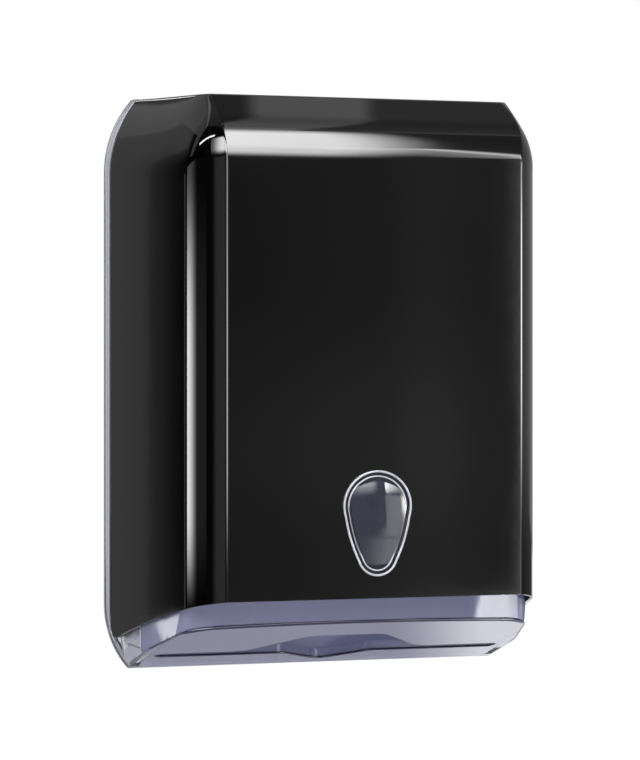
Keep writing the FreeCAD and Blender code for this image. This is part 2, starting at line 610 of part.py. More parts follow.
def slot_face(grow):
    # Slot with the front finger cut-out and the rear notch, drawn in plan: the right half of its
    # outline from the notch round to the cut-out, then the same edges mirrored.
    d0, d1 = SLOT_D0 - grow, SLOT_D0 + SLOT_W
    h, r = SLOT_HALF + grow, (d1 - d0) / 2
    z = -PAST
    tip_d = NOTCH_D + NOTCH_TIP_D - grow
    inner = (NOTCH_HALF - NOTCH_RUN, d0 - NOTCH_STEP_D, z)
    foot = (CUT_HALF - CUT_FOOT_X, d1 + CUT_FOOT_D, z)
    head = (CUT_TOP_HALF + CUT_HEAD_X, CUT_D - CUT_HEAD_D, z)
    flat = (CUT_TOP_HALF - CUT_HEAD_IN, CUT_D, z)
    half = [line((NOTCH_TIP_X, tip_d, z), inner),
            arc(inner, (NOTCH_HALF - NOTCH_BEND_X, d0 - NOTCH_BEND_D, z), (NOTCH_HALF, d0, z)),
            line((NOTCH_HALF, d0, z), (h - r, d0, z)),
            arc((h - r, d0, z), (h, (d0 + d1) / 2, z), (h - r, d1, z)),
            line((h - r, d1, z), (CUT_HALF, d1, z)),
            arc((CUT_HALF, d1, z), (CUT_HALF - CUT_BEND_X, d1 + CUT_BEND_D, z), foot),
            line(foot, head),
            arc(head, (CUT_TOP_HALF + CUT_HEAD_X / 2, CUT_D - CUT_HEAD_BOW, z), flat)]
    notch = arc((-NOTCH_TIP_X, tip_d, z), (0, NOTCH_D - grow, z), (NOTCH_TIP_X, tip_d, z))
    end = line(flat, (-flat[0], flat[1], z))
    return Part.Face(Part.Wire([notch] + half + [end] + [mirror_x(e) for e in reversed(half)]))


up = FreeCAD.Vector(0, 0, TRAY_TOP_H + 2 * PAST)
slot = slot_face(0.0).extrude(up)
ring = slot_face(LIP_T).extrude(up)
upstand = ring.common(above_floor(TRAY_T - SINK / 2, 0.0)).cut(above_floor(TRAY_T + LIP_UP, 0.0))
upstand = upstand.common(box(-BIG, BIG, 0, SLOT_D0 + LIP_ROUND, -PAST, TOP_LEVEL))
tray = shell.fuse(upstand)

# upright rear flange
flange = box(-FLANGE_HALF, FLANGE_HALF, FLANGE_D, FLANGE_D + FLANGE_T,
             floor_h(FLANGE_D) + SINK, FLANGE_H)
tray = tray.fuse(flange)
# paper guides
guide_out = GUIDE_X + GUIDE_T
guide_end = (COVER_HALF - COVER_T - GUIDE_FIT - guide_out) / COVER_TAPER
guide = box(GUIDE_X, guide_out, GUIDE_D0, guide_end, -PAST, TRAY_TOP_H - GUIDE_DROP)
guide = guide.common(above_floor(SINK, 0.0))
tray = tray.fuse(guide).fuse(mirror_x(guide))
tray = tray.cut(slot)
for s in (-1, 1):
    tray = tray.cut(rod_d(s * TRAY_SCREW_X, TRAY_SCREW_H, FLANGE_D - CUT, FLANGE_D + FLANGE_T + CUT,
                          TRAY_SCREW_R + TRAY_SCREW_FIT))
tray = tray.removeSplitter()

# ---------------------------------------------------------------- hinge pins
x_end = COVER_HALF - COVER_TAPER * HINGE_D - COVER_T + BOSS_SINK - BORE_END - PIN_GAP
pin = rod_x(LUG_X0 - PIN_HEAD_T / 2, x_end, HINGE_D, HINGE_H, HINGE_PIN_R)
head = rod_x(LUG_X0 - PIN_HEAD_T, LUG_X0, HINGE_D, HINGE_H, PIN_HEAD_R)
pin_right = pin.fuse(head).removeSplitter()
pin_left = mirror_x(pin_right)

# ---------------------------------------------------------------- lock
collar_top = seat_h + LOCK_COLLAR_T + LOCK_COLLAR_IN
barrel = rod_z(0, LOCK_D, seat_h, collar_top, LOCK_COLLAR_R)
barrel = barrel.fuse(rod_z(0, LOCK_D, lock_top - LOCK_LEN, seat_h + SINK / 2, LOCK_BODY_R))
barrel = barrel.cut(rod_z(0, LOCK_D, lock_top - LOCK_LEN - CUT, collar_top + CUT, CORE_R + CORE_FIT))
barrel = barrel.cut(rod_z(0, LOCK_D, collar_top - CORE_CAP_T, collar_top + CUT,
                          CORE_CAP_R + CORE_FIT))
nut = rod_z(0, LOCK_D, pad_low - LOCK_NUT_T, pad_low, LOCK_NUT_R)
nut = nut.cut(rod_z(0, LOCK_D, pad_low - LOCK_NUT_T - CUT, pad_low + CUT, LOCK_BODY_R))
notch_r = LOCK_NUT_R * NOTCH_OUT
for k in range(6):
    a = math.radians(60.0 * k)
    nut = nut.cut(rod_z(notch_r * math.cos(a), LOCK_D + notch_r * math.sin(a),
                        pad_low - LOCK_NUT_T - CUT, pad_low + CUT, LOCK_NOTCH_R))

tail = CAM_BORE_AF / 2
turn = rod_z(0, LOCK_D, cam_top, collar_top - CORE_CAP_T + SINK / 2, CORE_R)
turn = turn.fuse(rod_z(0, LOCK_D, collar_top - CORE_CAP_T + CORE_FIT, collar_top, CORE_CAP_R))
turn = turn.fuse(box(-tail, tail, LOCK_D - tail, LOCK_D + tail, cam_low, cam_top + SINK))
turn = turn.cut(box(-KEY_W / 2, KEY_W / 2, LOCK_D - KEY_L / 2, LOCK_D + KEY_L / 2,
                    collar_top - KEY_DEEP, collar_top + CUT))
turn = turn.cut(rod_z(0, LOCK_D, cam_low - CUT, cam_low + SCREW_LEN + CUT, CAM_SCREW_R))

cam = rod_z(0, LOCK_D, cam_low, cam_top, CAM_HUB_R)
cam = cam.fuse(box(-CAM_HALF, CAM_HALF, LOCK_D - CAM_REACH + CAM_HALF, LOCK_D, cam_low, cam_top))
cam = cam.fuse(rod_z(0, LOCK_D - CAM_REACH + CAM_HALF, cam_low, cam_top, CAM_HALF))
cam = cam.cut(box(-tail, tail, LOCK_D - tail, LOCK_D + tail, cam_low - CUT, cam_top + CUT))

screw = rod_z(0, LOCK_D, cam_low - SCREW_HEAD_T, cam_low, SCREW_HEAD_R)
screw = screw.fuse(rod_z(0, LOCK_D, cam_low - SCREW_HEAD_T / 4, cam_low + SCREW_LEN, CAM_SCREW_R))
for a, b in ((CROSS_L, CROSS_W), (CROSS_W, CROSS_L)):
    screw = screw.cut(box(-a, a, LOCK_D - b, LOCK_D + b, cam_low - SCREW_HEAD_T - CUT,
                          cam_low - SCREW_HEAD_T / 2))


def tray_screw(x):
    d = FLANGE_D + FLANGE_T
    s = rod_d(x, TRAY_SCREW_H, d, d + TRAY_HEAD_T, TRAY_HEAD_R)
    s = s.fuse(rod_d(x, TRAY_SCREW_H, TRAY_SCREW_TIP, d + TRAY_HEAD_T / 4, TRAY_SCREW_R))
    for a, b in ((CROSS_L, CROSS_W), (CROSS_W, CROSS_L)):
        s = s.cut(box(x - a, x + a, d + TRAY_HEAD_T / 2, d + TRAY_HEAD_T + CUT,
                      TRAY_SCREW_H - b, TRAY_SCREW_H + b))
    return s


parts = {
    "back_plate": plate,
    "bottom_tray": tray,
    "front_cover": cover,
    "level_window": window,
    "hinge_pin_left": pin_left,
    "hinge_pin_right": pin_right,
    "lock_barrel": barrel.removeSplitter(),
    "lock_nut": nut.removeSplitter(),
    "lock_core": turn.removeSplitter(),
    "lock_cam": cam.removeSplitter(),
    "cam_screw": screw.removeSplitter(),
    "tray_screw_left": tray_screw(-TRAY_SCREW_X).removeSplitter(),
    "tray_screw_right": tray_screw(TRAY_SCREW_X).removeSplitter(),
}
for name, shape in parts.items():
    solids = shape.Solids
    if len(solids) == 1:
        shape = solids[0]
    shape.translate(FreeCAD.Vector(0, 0, -SCREW_H))
    b = shape.BoundBox
    print(name, "solids", len(solids), "valid", shape.isValid(),
          "x %.1f %.1f y %.1f %.1f z %.1f %.1f" % (b.XMin, b.XMax, b.YMin, b.YMax, b.ZMin, b.ZMax))
    shape.exportStep("parts/" + name + ".step")
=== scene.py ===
import math

import bpy
import numpy as np
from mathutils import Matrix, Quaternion, Vector
from mathutils.geometry import tessellate_polygon


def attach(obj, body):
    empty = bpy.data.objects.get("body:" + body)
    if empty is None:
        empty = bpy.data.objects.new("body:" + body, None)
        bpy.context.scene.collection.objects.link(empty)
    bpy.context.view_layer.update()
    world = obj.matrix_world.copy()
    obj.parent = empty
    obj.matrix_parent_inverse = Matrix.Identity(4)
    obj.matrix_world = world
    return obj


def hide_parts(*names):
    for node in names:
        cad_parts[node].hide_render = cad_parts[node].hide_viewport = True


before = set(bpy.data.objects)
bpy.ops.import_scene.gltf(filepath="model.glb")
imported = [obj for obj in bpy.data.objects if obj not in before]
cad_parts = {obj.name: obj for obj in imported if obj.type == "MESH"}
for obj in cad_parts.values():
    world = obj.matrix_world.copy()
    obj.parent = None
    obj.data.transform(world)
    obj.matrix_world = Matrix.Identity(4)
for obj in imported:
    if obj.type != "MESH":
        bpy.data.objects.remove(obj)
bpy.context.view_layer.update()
scene = bpy.context.scene

# Metres, part frame: X across, Y = -depth from the wall, Z up from the wall-screw pattern centre.

# ---------------------------------------------------------------- camera
FOCAL_PX = 2815.0
IMAGE_H = 760.0
SENSOR = 36.0
CAMERA_TURN = -17.95
camera_data = bpy.data.cameras.new("camera")
camera_data.sensor_width = SENSOR
camera_data.lens = FOCAL_PX / IMAGE_H * SENSOR
camera_data.shift_x = -0.0007
camera_data.shift_y = -0.0322
camera_data.clip_start, camera_data.clip_end = 0.05, 50.0
camera = bpy.data.objects.new("camera", camera_data)
camera.location = (-0.5713, -1.7836, -0.0015)
camera.rotation_euler = (math.radians(90.0), 0.0, math.radians(CAMERA_TURN))
scene.collection.objects.link(camera)
scene.camera = camera


# ---------------------------------------------------------------- node helpers
def new_material(name):
    mat = bpy.data.materials.new(name)
    mat.use_nodes = True
    nodes = mat.node_tree.nodes
    return mat, nodes, mat.node_tree.links, nodes["Principled BSDF"]


def object_coords(nodes):
    return nodes.new("ShaderNodeTexCoord").outputs["Object"]


def noise(nodes, links, coords, scale, detail=4.0, rough=0.5):
    n = nodes.new("ShaderNodeTexNoise")
    n.inputs["Scale"].default_value = scale
    n.inputs["Detail"].default_value = detail
    n.inputs["Roughness"].default_value = rough
    links.new(coords, n.inputs["Vector"])
    return n.outputs["Fac"]


def map_range(nodes, links, value, a, b, c, d):
    m = nodes.new("ShaderNodeMapRange")
    for key, v in (("From Min", a), ("From Max", b), ("To Min", c), ("To Max", d)):
        m.inputs[key].default_value = v
    links.new(value, m.inputs["Value"])
    return m.outputs["Result"]


def bump(nodes, links, height, strength, distance):
    b = nodes.new("ShaderNodeBump")
    b.inputs["Strength"].default_value = strength
    b.inputs["Distance"].default_value = distance
    links.new(height, b.inputs["Height"])
    return b.outputs["Normal"]


def mix_colour(nodes, links, fac, a, b):
    m = nodes.new("ShaderNodeMix")
    m.data_type = "RGBA"
    m.inputs["A"].default_value = (*a, 1.0)
    m.inputs["B"].default_value = (*b, 1.0)
    links.new(fac, m.inputs["Factor"])
    return m.outputs["Result"]


# ---------------------------------------------------------------- materials
PLASTIC_IOR = 1.5
SMOKE_TINT = (0.05, 0.07, 0.22)


def gloss_black():
    mat, nodes, links, shader = new_material("gloss_black_plastic")
    co = object_coords(nodes)
    cloud = noise(nodes, links, co, 9.0)
    colour = mix_colour(nodes, links, cloud, (0.0006, 0.0006, 0.0007), (0.0012, 0.0012, 0.0013))
    links.new(colour, shader.inputs["Base Color"])
    links.new(map_range(nodes, links, cloud, 0.3, 0.7, 0.035, 0.065), shader.inputs["Roughness"])
    shader.inputs["IOR"].default_value = PLASTIC_IOR
    ripple = noise(nodes, links, co, 60.0, 2.0)
    links.new(bump(nodes, links, ripple, 0.02, 0.0004), shader.inputs["Normal"])
    return mat


def smoke_clear(name, low, high, clear, gloss, tint, density):
    # Smoky plastic, clear and a little milky; it darkens with the way the light takes through it.
    mat, nodes, links, shader = new_material(name)
    co = object_coords(nodes)
    flow = noise(nodes, links, co, 14.0, 3.0)
    links.new(mix_colour(nodes, links, flow, low, high), shader.inputs["Base Color"])
    links.new(map_range(nodes, links, flow, 0.3, 0.7, 0.02, 0.06), shader.inputs["Roughness"])
    shader.inputs["IOR"].default_value = PLASTIC_IOR
    shader.inputs["Specular IOR Level"].default_value = gloss
    shader.inputs["Transmission Weight"].default_value = clear
    ripple = noise(nodes, links, co, 40.0, 2.0)
    links.new(bump(nodes, links, ripple, 0.04, 0.0005), shader.inputs["Normal"])
    body = nodes.new("ShaderNodeVolumeAbsorption")
    body.inputs["Color"].default_value = (*tint, 1.0)
    body.inputs["Density"].default_value = density
    links.new(body.outputs[0], nodes["Material Output"].inputs["Volume"])
    return mat


def moulded(name, low, high, rough):
    # Plain gloss plastic with a faint flow in its tone; the edge beads get their painted highlight and
    # painted shade colours through it.
    mat, nodes, links, shader = new_material(name)
    co = object_coords(nodes)
    flow = noise(nodes, links, co, 160.0, 3.0)
    links.new(mix_colour(nodes, links, flow, low, high), shader.inputs["Base Color"])
    links.new(map_range(nodes, links, flow, 0.3, 0.7, rough * 0.8, rough * 1.3),
              shader.inputs["Roughness"])
    shader.inputs["IOR"].default_value = PLASTIC_IOR
    links.new(bump(nodes, links, flow, 0.05, 0.0002), shader.inputs["Normal"])
    return mat


def metal(name, colour, rough):
    mat, nodes, links, shader = new_material(name)
    co = object_coords(nodes)
    grain = noise(nodes, links, co, 220.0, 6.0, 0.6)
    dark = tuple(c * 0.8 for c in colour)
    links.new(mix_colour(nodes, links, grain, dark, colour), shader.inputs["Base Color"])
    links.new(map_range(nodes, links, grain, 0.3, 0.7, rough * 0.8, rough * 1.3),
              shader.inputs["Roughness"])
    shader.inputs["Metallic"].default_value = 1.0
    links.new(bump(nodes, links, grain, 0.1, 0.0002), shader.inputs["Normal"])
    return mat


black = gloss_black()
smoke_plate = smoke_clear("smoke_clear_plate", (0.70, 0.71, 0.77), (0.78, 0.79, 0.85), 0.88, 0.5,
                          SMOKE_TINT, 60.0)
smoke_tray = smoke_clear("smoke_clear_tray", (0.44, 0.46, 0.68), (0.52, 0.54, 0.78), 0.60, 0.5,
                         SMOKE_TINT, 60.0)
lens = smoke_clear("smoke_clear_lens", (0.30, 0.31, 0.42), (0.38, 0.39, 0.50), 0.94, 0.22,
                   SMOKE_TINT, 1400.0)
# painted highlight: pale opaque beads standing in for the light that the window's edges catch
painted_rim_light = moulded("painted_highlight_rim", (0.44, 0.45, 0.52), (0.60, 0.61, 0.68), 0.16)
# painted shade: dark navy beads standing in for the dark lines that the clear plastic shows at its folds,
# rims and edges
painted_dark_edge = moulded("painted_shade_edge", (0.012, 0.014, 0.060), (0.022, 0.026, 0.090), 0.10)
# painted highlight: pale beads standing in for the light line along a rounded edge
painted_light_edge = moulded("painted_highlight_edge", (0.78, 0.79, 0.84), (0.88, 0.89, 0.93), 0.12)
steel = metal("zinc_steel", (0.62, 0.63, 0.65), 0.3)
chrome = metal("lock_chrome", (0.78, 0.78, 0.80), 0.12)
FINISH = {
    "front_cover": black, "back_plate": smoke_plate, "bottom_tray": smoke_tray, "level_window": lens,
    "lock_barrel": chrome, "lock_core": chrome, "lock_nut": steel, "lock_cam": steel,
    "cam_screw": steel, "tray_screw_left": steel, "tray_screw_right": steel,
    "hinge_pin_left": steel, "hinge_pin_right": steel,
}
for name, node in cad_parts.items():
    for holder in node.material_slots:
        holder.material = FINISH[name]


# ---------------------------------------------------------------- front cover
# The moulded shell as one smooth skin: the same planes, arcs and edges as the solid cover, with
# its corners rolled into each other. Sizes in millimetres: x across, d depth from the wall,
# z height above the lowest point.
MM = 0.001
LOWEST = -205.0
HEIGHT, DEPTH = 370.0, 134.0
SIDE_HALF, SIDE_TAPER = 140.6, 0.24
COVER_REAR, SHELL_T = 7.3, 2.3
# upper corners: radius, height at the wall, fall and opening with the depth
CORNER_R, CORNER_Z, CORNER_LEAN, CORNER_OPEN = 75.0, 322.0, 0.063, 0.07
OPEN_FROM, OPEN_TO = 20.0, 110.0
# top: its fall to the knee, the slope in front of it and the brow that rolls it into the front
KNEE_D = 102.0
TOP_SLOPE = 3.9 / KNEE_D
KNEE_Z = HEIGHT - KNEE_D * TOP_SLOPE
TOP_ROLL = 1.0
SLOPE = math.radians(37.0)
BROW_R = 34.0
BROW_RUN = DEPTH - BROW_R * (1 - math.sin(SLOPE)) - KNEE_D
BROW_Z = KNEE_Z - BROW_RUN * math.tan(SLOPE) - BROW_R * math.cos(SLOPE)
# crease down the front, which opens upwards, and the rounded flank outside it
CREASE_X, CREASE_R = 96.6, 2.5
CREASE_OPEN, CREASE_FROM, CREASE_TO = 2.5, 318.0, 372.0
FLANK_R, FLANK_ANGLE, FLANK_LAST = 59.0, math.radians(40.0), math.radians(76.0)
# roll of the edge between front and side: the least, and what it gains between two heights
EDGE_LEAST = 0.01
EDGE_GAINS = ((2.0, 320.0, 336.0), (3.0, 336.0, 362.0))
HINGE_D, HINGE_H = 13.0, 27.0
EYE_R = HINGE_D - COVER_REAR
LIP = ((13.0, 21.3), (73.0, 39.3), (134.0, 53.0))
LOCK_D, SEAT_R, SEAT_SIDES = 22.0, 11.1, 48
WINDOW_R1, WINDOW_Z1, WINDOW_R2, WINDOW_Z2 = 22.5, 110.0, 13.5, 80.1
WINDOW_MID, WINDOW_STEP, WINDOW_BOW = 98.0, 1.9, 1.1

# Grid of the skin. Columns: across the flat of the front as shares of the crease's place, close
# to the crease inside and outside it, over the flank and along the side.
FRONT_SHARE = (0, .09, .18, .27, .36, .46, .56, .64, .71, .77, .82, .86, .895, .925, .95, .968)
NEAR_INSIDE = (-1.9, -1.4, -1.0, -0.7)
NEAR_OUTSIDE = (-0.4, -0.1, 0.2, 0.45, 0.7, 1.0)
CREASE_COL = len(FRONT_SHARE) + len(NEAR_INSIDE)
FLANK_COLS, FLANK_GATHER, SIDE_COLS = 34, 1.35, 26
FLANK_WIDTH, FLANK_DEPTH, LEAST_SHARE = 21.3, 32.8, 0.12
# Rows: shares of the way up from the lower edge, heights, and gaps below the top.
LOW_SHARE = (0.0, 0.04, 0.1, 0.25, 0.5, 0.75)
LOW_TOP = 60.0
WINDOW_ROWS = tuple(66.0 + 6.0 * k for k in range(14))
PLAIN_ROWS = (160.0, 185.0, 210.0, 235.0, 260.0, 280.0, 295.0)
CORNER_ROWS = np.arange(303.0, 345.0, 1.4)
TOP_GAPS = (20.0, 18.0, 16.0, 14.2, 12.4, 10.7, 9.1, 7.6, 6.3, 5.1, 4.1, 3.2, 2.4, 1.8, 1.3, 0.9,
            0.6, 0.35, 0.18, 0.08, 0.03, 0.0)
TOP_AIM, TOP_TOUCH = 366.6, 0.002
# rows and columns round the window that its hole takes
WINDOW_FIRST, WINDOW_LAST, WINDOW_COLS = 6, 20, 4
CAST_D, CAST_FAR, HALVINGS = 60.0, 260.0, 44
CALM_FROM, CALM_TO, CALM_SKIP, CALM_BLEND, CALM_ROUNDS = 312.0, 326.0, 4.0, 6.0, 10


def round_max(a, b, r):
    # Larger of two distances, with the edge between them rolled over r.
    return np.minimum(-r, np.maximum(a, b)) + np.hypot(np.maximum(a + r, 0), np.maximum(b + r, 0))


def ease(v, lo, hi):
    # Rises smoothly from 0 at lo to 1 at hi.
    t = np.clip((v - lo) / (hi - lo), 0.0, 1.0)
    return t * t * (3 - 2 * t)


def crease_at(z):
    return CREASE_X + CREASE_OPEN * ease(z, CREASE_FROM, CREASE_TO)


def flank_drop(u):
    # Fall of the surface beside the crease; u is the distance outside it.
    start = -CREASE_R * math.tan(FLANK_ANGLE / 2)
    a_end = start + CREASE_R * math.sin(FLANK_ANGLE)
    roll = CREASE_R - np.sqrt(np.maximum(CREASE_R ** 2 - (np.clip(u, start, a_end) - start) ** 2, 0))
    cx, cw = -FLANK_R * math.sin(FLANK_ANGLE), FLANK_R * math.cos(FLANK_ANGLE)
    x_last = cx + FLANK_R * math.sin(FLANK_LAST)
    on = np.clip(u, a_end, x_last)
    bow = cw - np.sqrt(FLANK_R ** 2 - (on - cx) ** 2)
    return np.where(u < a_end, roll, bow + CREASE_R * (1 - math.cos(FLANK_ANGLE))
                    - (cw - math.sqrt(FLANK_R ** 2 - (a_end - cx) ** 2)))


def skin(x, d, z):
    # Below zero inside the cover.
    x = np.abs(x)
    slope = (z - KNEE_Z) * math.cos(SLOPE) + (d - KNEE_D) * math.sin(SLOPE)
    out, up = d - (DEPTH - BROW_R), z - BROW_Z
    rolled = (up > 0) & (up * math.sin(SLOPE) < out * math.cos(SLOPE))
    panel = np.where(rolled, np.hypot(out, up) - BROW_R, np.maximum(d - DEPTH, slope))
    panel = panel + flank_drop(x - crease_at(z))
    half = SIDE_HALF - SIDE_TAPER * d
    over = np.maximum(z - (CORNER_Z - CORNER_LEAN * d), 0)
    over = over * (1 - CORNER_OPEN * ease(d, OPEN_FROM, OPEN_TO))
    side = np.hypot(np.maximum(x - half + CORNER_R, 0), over) - CORNER_R
    side = np.where(over > 0, side, x - half) * math.cos(math.atan(SIDE_TAPER))
    roll = EDGE_LEAST + sum(gain * ease(z, low, high) for gain, low, high in EDGE_GAINS)
    top = z - (HEIGHT - TOP_SLOPE * d)
    return round_max(round_max(panel, side, roll), top, TOP_ROLL)


def skin_normal(x, d, z):
    step = 0.02
    dx = skin(x + step, d, z) - skin(x - step, d, z)
    dd = skin(x, d + step, z) - skin(x, d - step, z)
    dz = skin(x, d, z + step) - skin(x, d, z - step)
    n = np.stack([dx, -dd, dz], -1)
    return n / np.linalg.norm(n, axis=-1, keepdims=True)


def calm(normals, heights):
    # Normals of a grid, evened out in the rolled upper corners outside the crease.
    width = normals.shape[1]
    outward = np.abs(np.arange(width) - (width - 1) // 2)
    beyond = np.clip((outward - CREASE_COL - CALM_SKIP) / CALM_BLEND, 0.0, 1.0)
    share = beyond[None, :, None] * ease(heights, CALM_FROM, CALM_TO)[..., None]
    calmed = normals.copy()
    for _ in range(CALM_ROUNDS):
        wide = np.pad(calmed, ((1, 1), (1, 1), (0, 0)), mode="edge")
        near = wide[:-2, 1:-1] + wide[2:, 1:-1] + wide[1:-1, :-2] + wide[1:-1, 2:]
        calmed = (calmed * 2 + near) / 6
    mixed = normals * (1 - share) + calmed * share
    return mixed / np.linalg.norm(mixed, axis=-1, keepdims=True)


def arc_through(p, q, r):
    # Centre and radius of the circle through three points.
    a, b = 2 * (q[0] - p[0]), 2 * (q[1] - p[1])
    c, e = 2 * (r[0] - p[0]), 2 * (r[1] - p[1])
    m = q[0] ** 2 + q[1] ** 2 - p[0] ** 2 - p[1] ** 2
    n = r[0] ** 2 + r[1] ** 2 - p[0] ** 2 - p[1] ** 2
    det = a * e - b * c
    cx, cy = (m * e - b * n) / det, (a * n - m * c) / det
    return cx, cy, math.hypot(p[0] - cx, p[1] - cy)


def lower_edge(d):
    # Height of the cover's lower edge: the long arc of the lip, and the eye round the hinge.
    cx, cy, r = arc_through(*LIP)
    turn = 1.0 if cy < LIP[1][1] else -1.0
    lip = cy + turn * np.sqrt(np.maximum(r ** 2 - (d - cx) ** 2, 0))
    eye = HINGE_H - np.sqrt(np.maximum(EYE_R ** 2 - (HINGE_D - d) ** 2, 0))
    return np.where(d < HINGE_D, eye, lip)


def front_depth(z, inset):
    # Depth of the skin at height z on the middle line.
    low, high = 0.0, CAST_FAR
    for _ in range(HALVINGS):
        mid = (low + high) / 2
        inside = skin(np.zeros(1), np.full(1, mid), np.full(1, z))[0] < -inset
        low, high = (mid, high) if inside else (low, mid)
    return low


def cover_columns(z, inset):
    # Aim points round the half outline at height z: front, crease, flank, side.
    front = front_depth(z, inset)
    crease = float(crease_at(z))
    half = SIDE_HALF - inset / math.cos(math.atan(SIDE_TAPER))
    over = max(z - CORNER_Z, 0.0)
    sink = CORNER_R - math.sqrt(CORNER_R ** 2 - min(over, CORNER_R) ** 2)
    points = [(crease * share, front) for share in FRONT_SHARE]
    points += [(crease + u, front) for u in NEAR_INSIDE]
    points += [(crease + u, front - float(flank_drop(np.array(u)))) for u in NEAR_OUTSIDE]
    room = half - SIDE_TAPER * (front - FLANK_DEPTH) - sink - crease
    end_d = front - FLANK_DEPTH * min(max(room / FLANK_WIDTH, LEAST_SHARE), 1.0)
    end_x = max(half - SIDE_TAPER * end_d - sink, crease + 2.0)
    for t in np.linspace(0.06, 1.0, FLANK_COLS):
        points.append((crease + (end_x - crease) * t, front + (end_d - front) * t ** FLANK_GATHER))
    for t in np.linspace(0.03, 1.0, SIDE_COLS):
        d = end_d + (COVER_REAR - end_d) * t
        points.append((half - SIDE_TAPER * d - sink, d))
    return np.array(points)


def cover_rows():
    rows = [("low", share) for share in LOW_SHARE]
    rows += [("flat", z) for z in (LOW_TOP, *WINDOW_ROWS, *PLAIN_ROWS, *CORNER_ROWS)]
    return rows + [("top", gap) for gap in TOP_GAPS]


def teardrop_outline(offset):
    # Window outline in the front view: two arcs joined by slightly bowed flanks.
    r1, r2 = WINDOW_R1 + offset, WINDOW_R2 + offset
    lean = math.asin((r1 - r2) / (WINDOW_Z1 - WINDOW_Z2))
    nx, nz = math.cos(lean), -math.sin(lean)
    up, down = np.linspace(-lean, math.pi / 2, 40), np.linspace(-math.pi / 2, -lean, 24)
    top = [(r1 * math.cos(a), WINDOW_Z1 + r1 * math.sin(a)) for a in up]
    foot = [(r2 * math.cos(a), WINDOW_Z2 + r2 * math.sin(a)) for a in down]
    (x0, z0), (x1, z1) = foot[-1], top[0]
    flank = []
    for t in np.linspace(0.05, 0.95, 19):
        bow = WINDOW_BOW * 4 * t * (1 - t)
        flank.append((x0 * (1 - t) + x1 * t + nx * bow, z0 * (1 - t) + z1 * t + nz * bow))
    right = foot + flank + top
    return np.array(right + [(-x, z) for x, z in reversed(right[1:-1])])


def teardrop_radius(angle, offset):
    # Distance of the outline from the window's middle in one direction.
    x, z = teardrop_outline(offset).T
    z = z - WINDOW_MID
    a = np.mod(np.arctan2(z, x), 2 * math.pi)
    order = np.argsort(a)
    return np.interp(np.mod(angle, 2 * math.pi), a[order], np.hypot(x, z)[order], period=2 * math.pi)


def cover_skin(inset):
    # Rows of points over half the skin: along each row, rays from the middle stop at the skin.
    rows = []
    for kind, value in cover_rows():
        if kind == "low":
            def level(d, share=value):
                return lower_edge(d) * (1 - share) + LOW_TOP * share
            aim_z = LOW_TOP
        elif kind == "flat":
            def level(d, z=value):
                return np.full_like(d, z)
            aim_z = value
        else:
            def level(d, gap=value):
                return HEIGHT - TOP_SLOPE * d - inset - gap - TOP_TOUCH
            aim_z = TOP_AIM - inset - value
        aim = cover_columns(aim_z, inset)
        start = np.where(np.arange(len(aim)) < len(aim) - SIDE_COLS, CAST_D, aim[:, 1])
        dx, dd = aim[:, 0], aim[:, 1] - start
        far = np.hypot(dx, dd)
        low, high = np.zeros_like(far), np.full_like(far, CAST_FAR)
        for _ in range(HALVINGS):
            mid = (low + high) / 2
            x, d = dx / far * mid, start + dd / far * mid
            inside = skin(x, d, level(d)) < -inset
            low, high = np.where(inside, mid, low), np.where(inside, high, mid)
        x, d = dx / far * low, start + dd / far * low
        rows.append(np.stack([x, d, level(d)], -1))
    return np.array(rows)


def mirrored(rows):
    left = rows[:, :0:-1].copy()
    left[..., 0] *= -1
    return np.concatenate([left, rows], axis=1)


def ring_quads(first, second):
    # Faces between two closed loops of vertex numbers.
    count = len(first)
    return [(first[k], first[(k + 1) % count], second[(k + 1) % count], second[k]) for k in range(count)]


def add_skin(verts, normals, faces, inset):
    # One skin of the shell with the window's hole in it; gives its grid of vertex numbers, row by
    # row from the lower edge up, and those of the hole's edge.
    points = mirrored(cover_skin(inset))
    sign = 1.0 if inset == 0 else -1.0
    n = calm(skin_normal(points[..., 0], points[..., 1], points[..., 2]), points[..., 2]) * sign
    height, width = points.shape[:2]
    grid = np.arange(len(verts), len(verts) + height * width).reshape(height, width).tolist()
    verts += [(x * MM, -d * MM, (LOWEST + z) * MM) for x, d, z in points.reshape(-1, 3)]
    normals += list(n.reshape(-1, 3))
    centre = (width - 1) // 2
    quads = []
    for r in range(height - 1):
        for c in range(width - 1):
            if WINDOW_FIRST <= r < WINDOW_LAST and abs(c + 0.5 - centre) < WINDOW_COLS:
                continue
            quads.append((grid[r][c], grid[r][c + 1], grid[r + 1][c + 1], grid[r + 1][c]))
    # ring of faces from the block round the window to the edge of its hole
    first, last = centre - WINDOW_COLS, centre + WINDOW_COLS
    block = [grid[WINDOW_FIRST][c] for c in range(first, last)]
    block += [grid[r][last] for r in range(WINDOW_FIRST, WINDOW_LAST)]
    block += [grid[WINDOW_LAST][c] for c in range(last, first, -1)]
    block += [grid[r][first] for r in range(WINDOW_LAST, WINDOW_FIRST, -1)]
    hole = []
    for i in block:
        a = math.atan2(verts[i][2] / MM - LOWEST - WINDOW_MID, verts[i][0] / MM)
        r = float(teardrop_radius(a, -WINDOW_STEP))
        hole.append(len(verts))
        verts.append((r * math.cos(a) * MM, verts[i][1], (LOWEST + WINDOW_MID + r * math.sin(a)) * MM))
        normals.append(np.array((0.0, -sign, 0.0)))
    quads += ring_quads(block, hole)
    faces += quads if inset == 0 else [q[::-1] for q in quads]
    return grid, hole


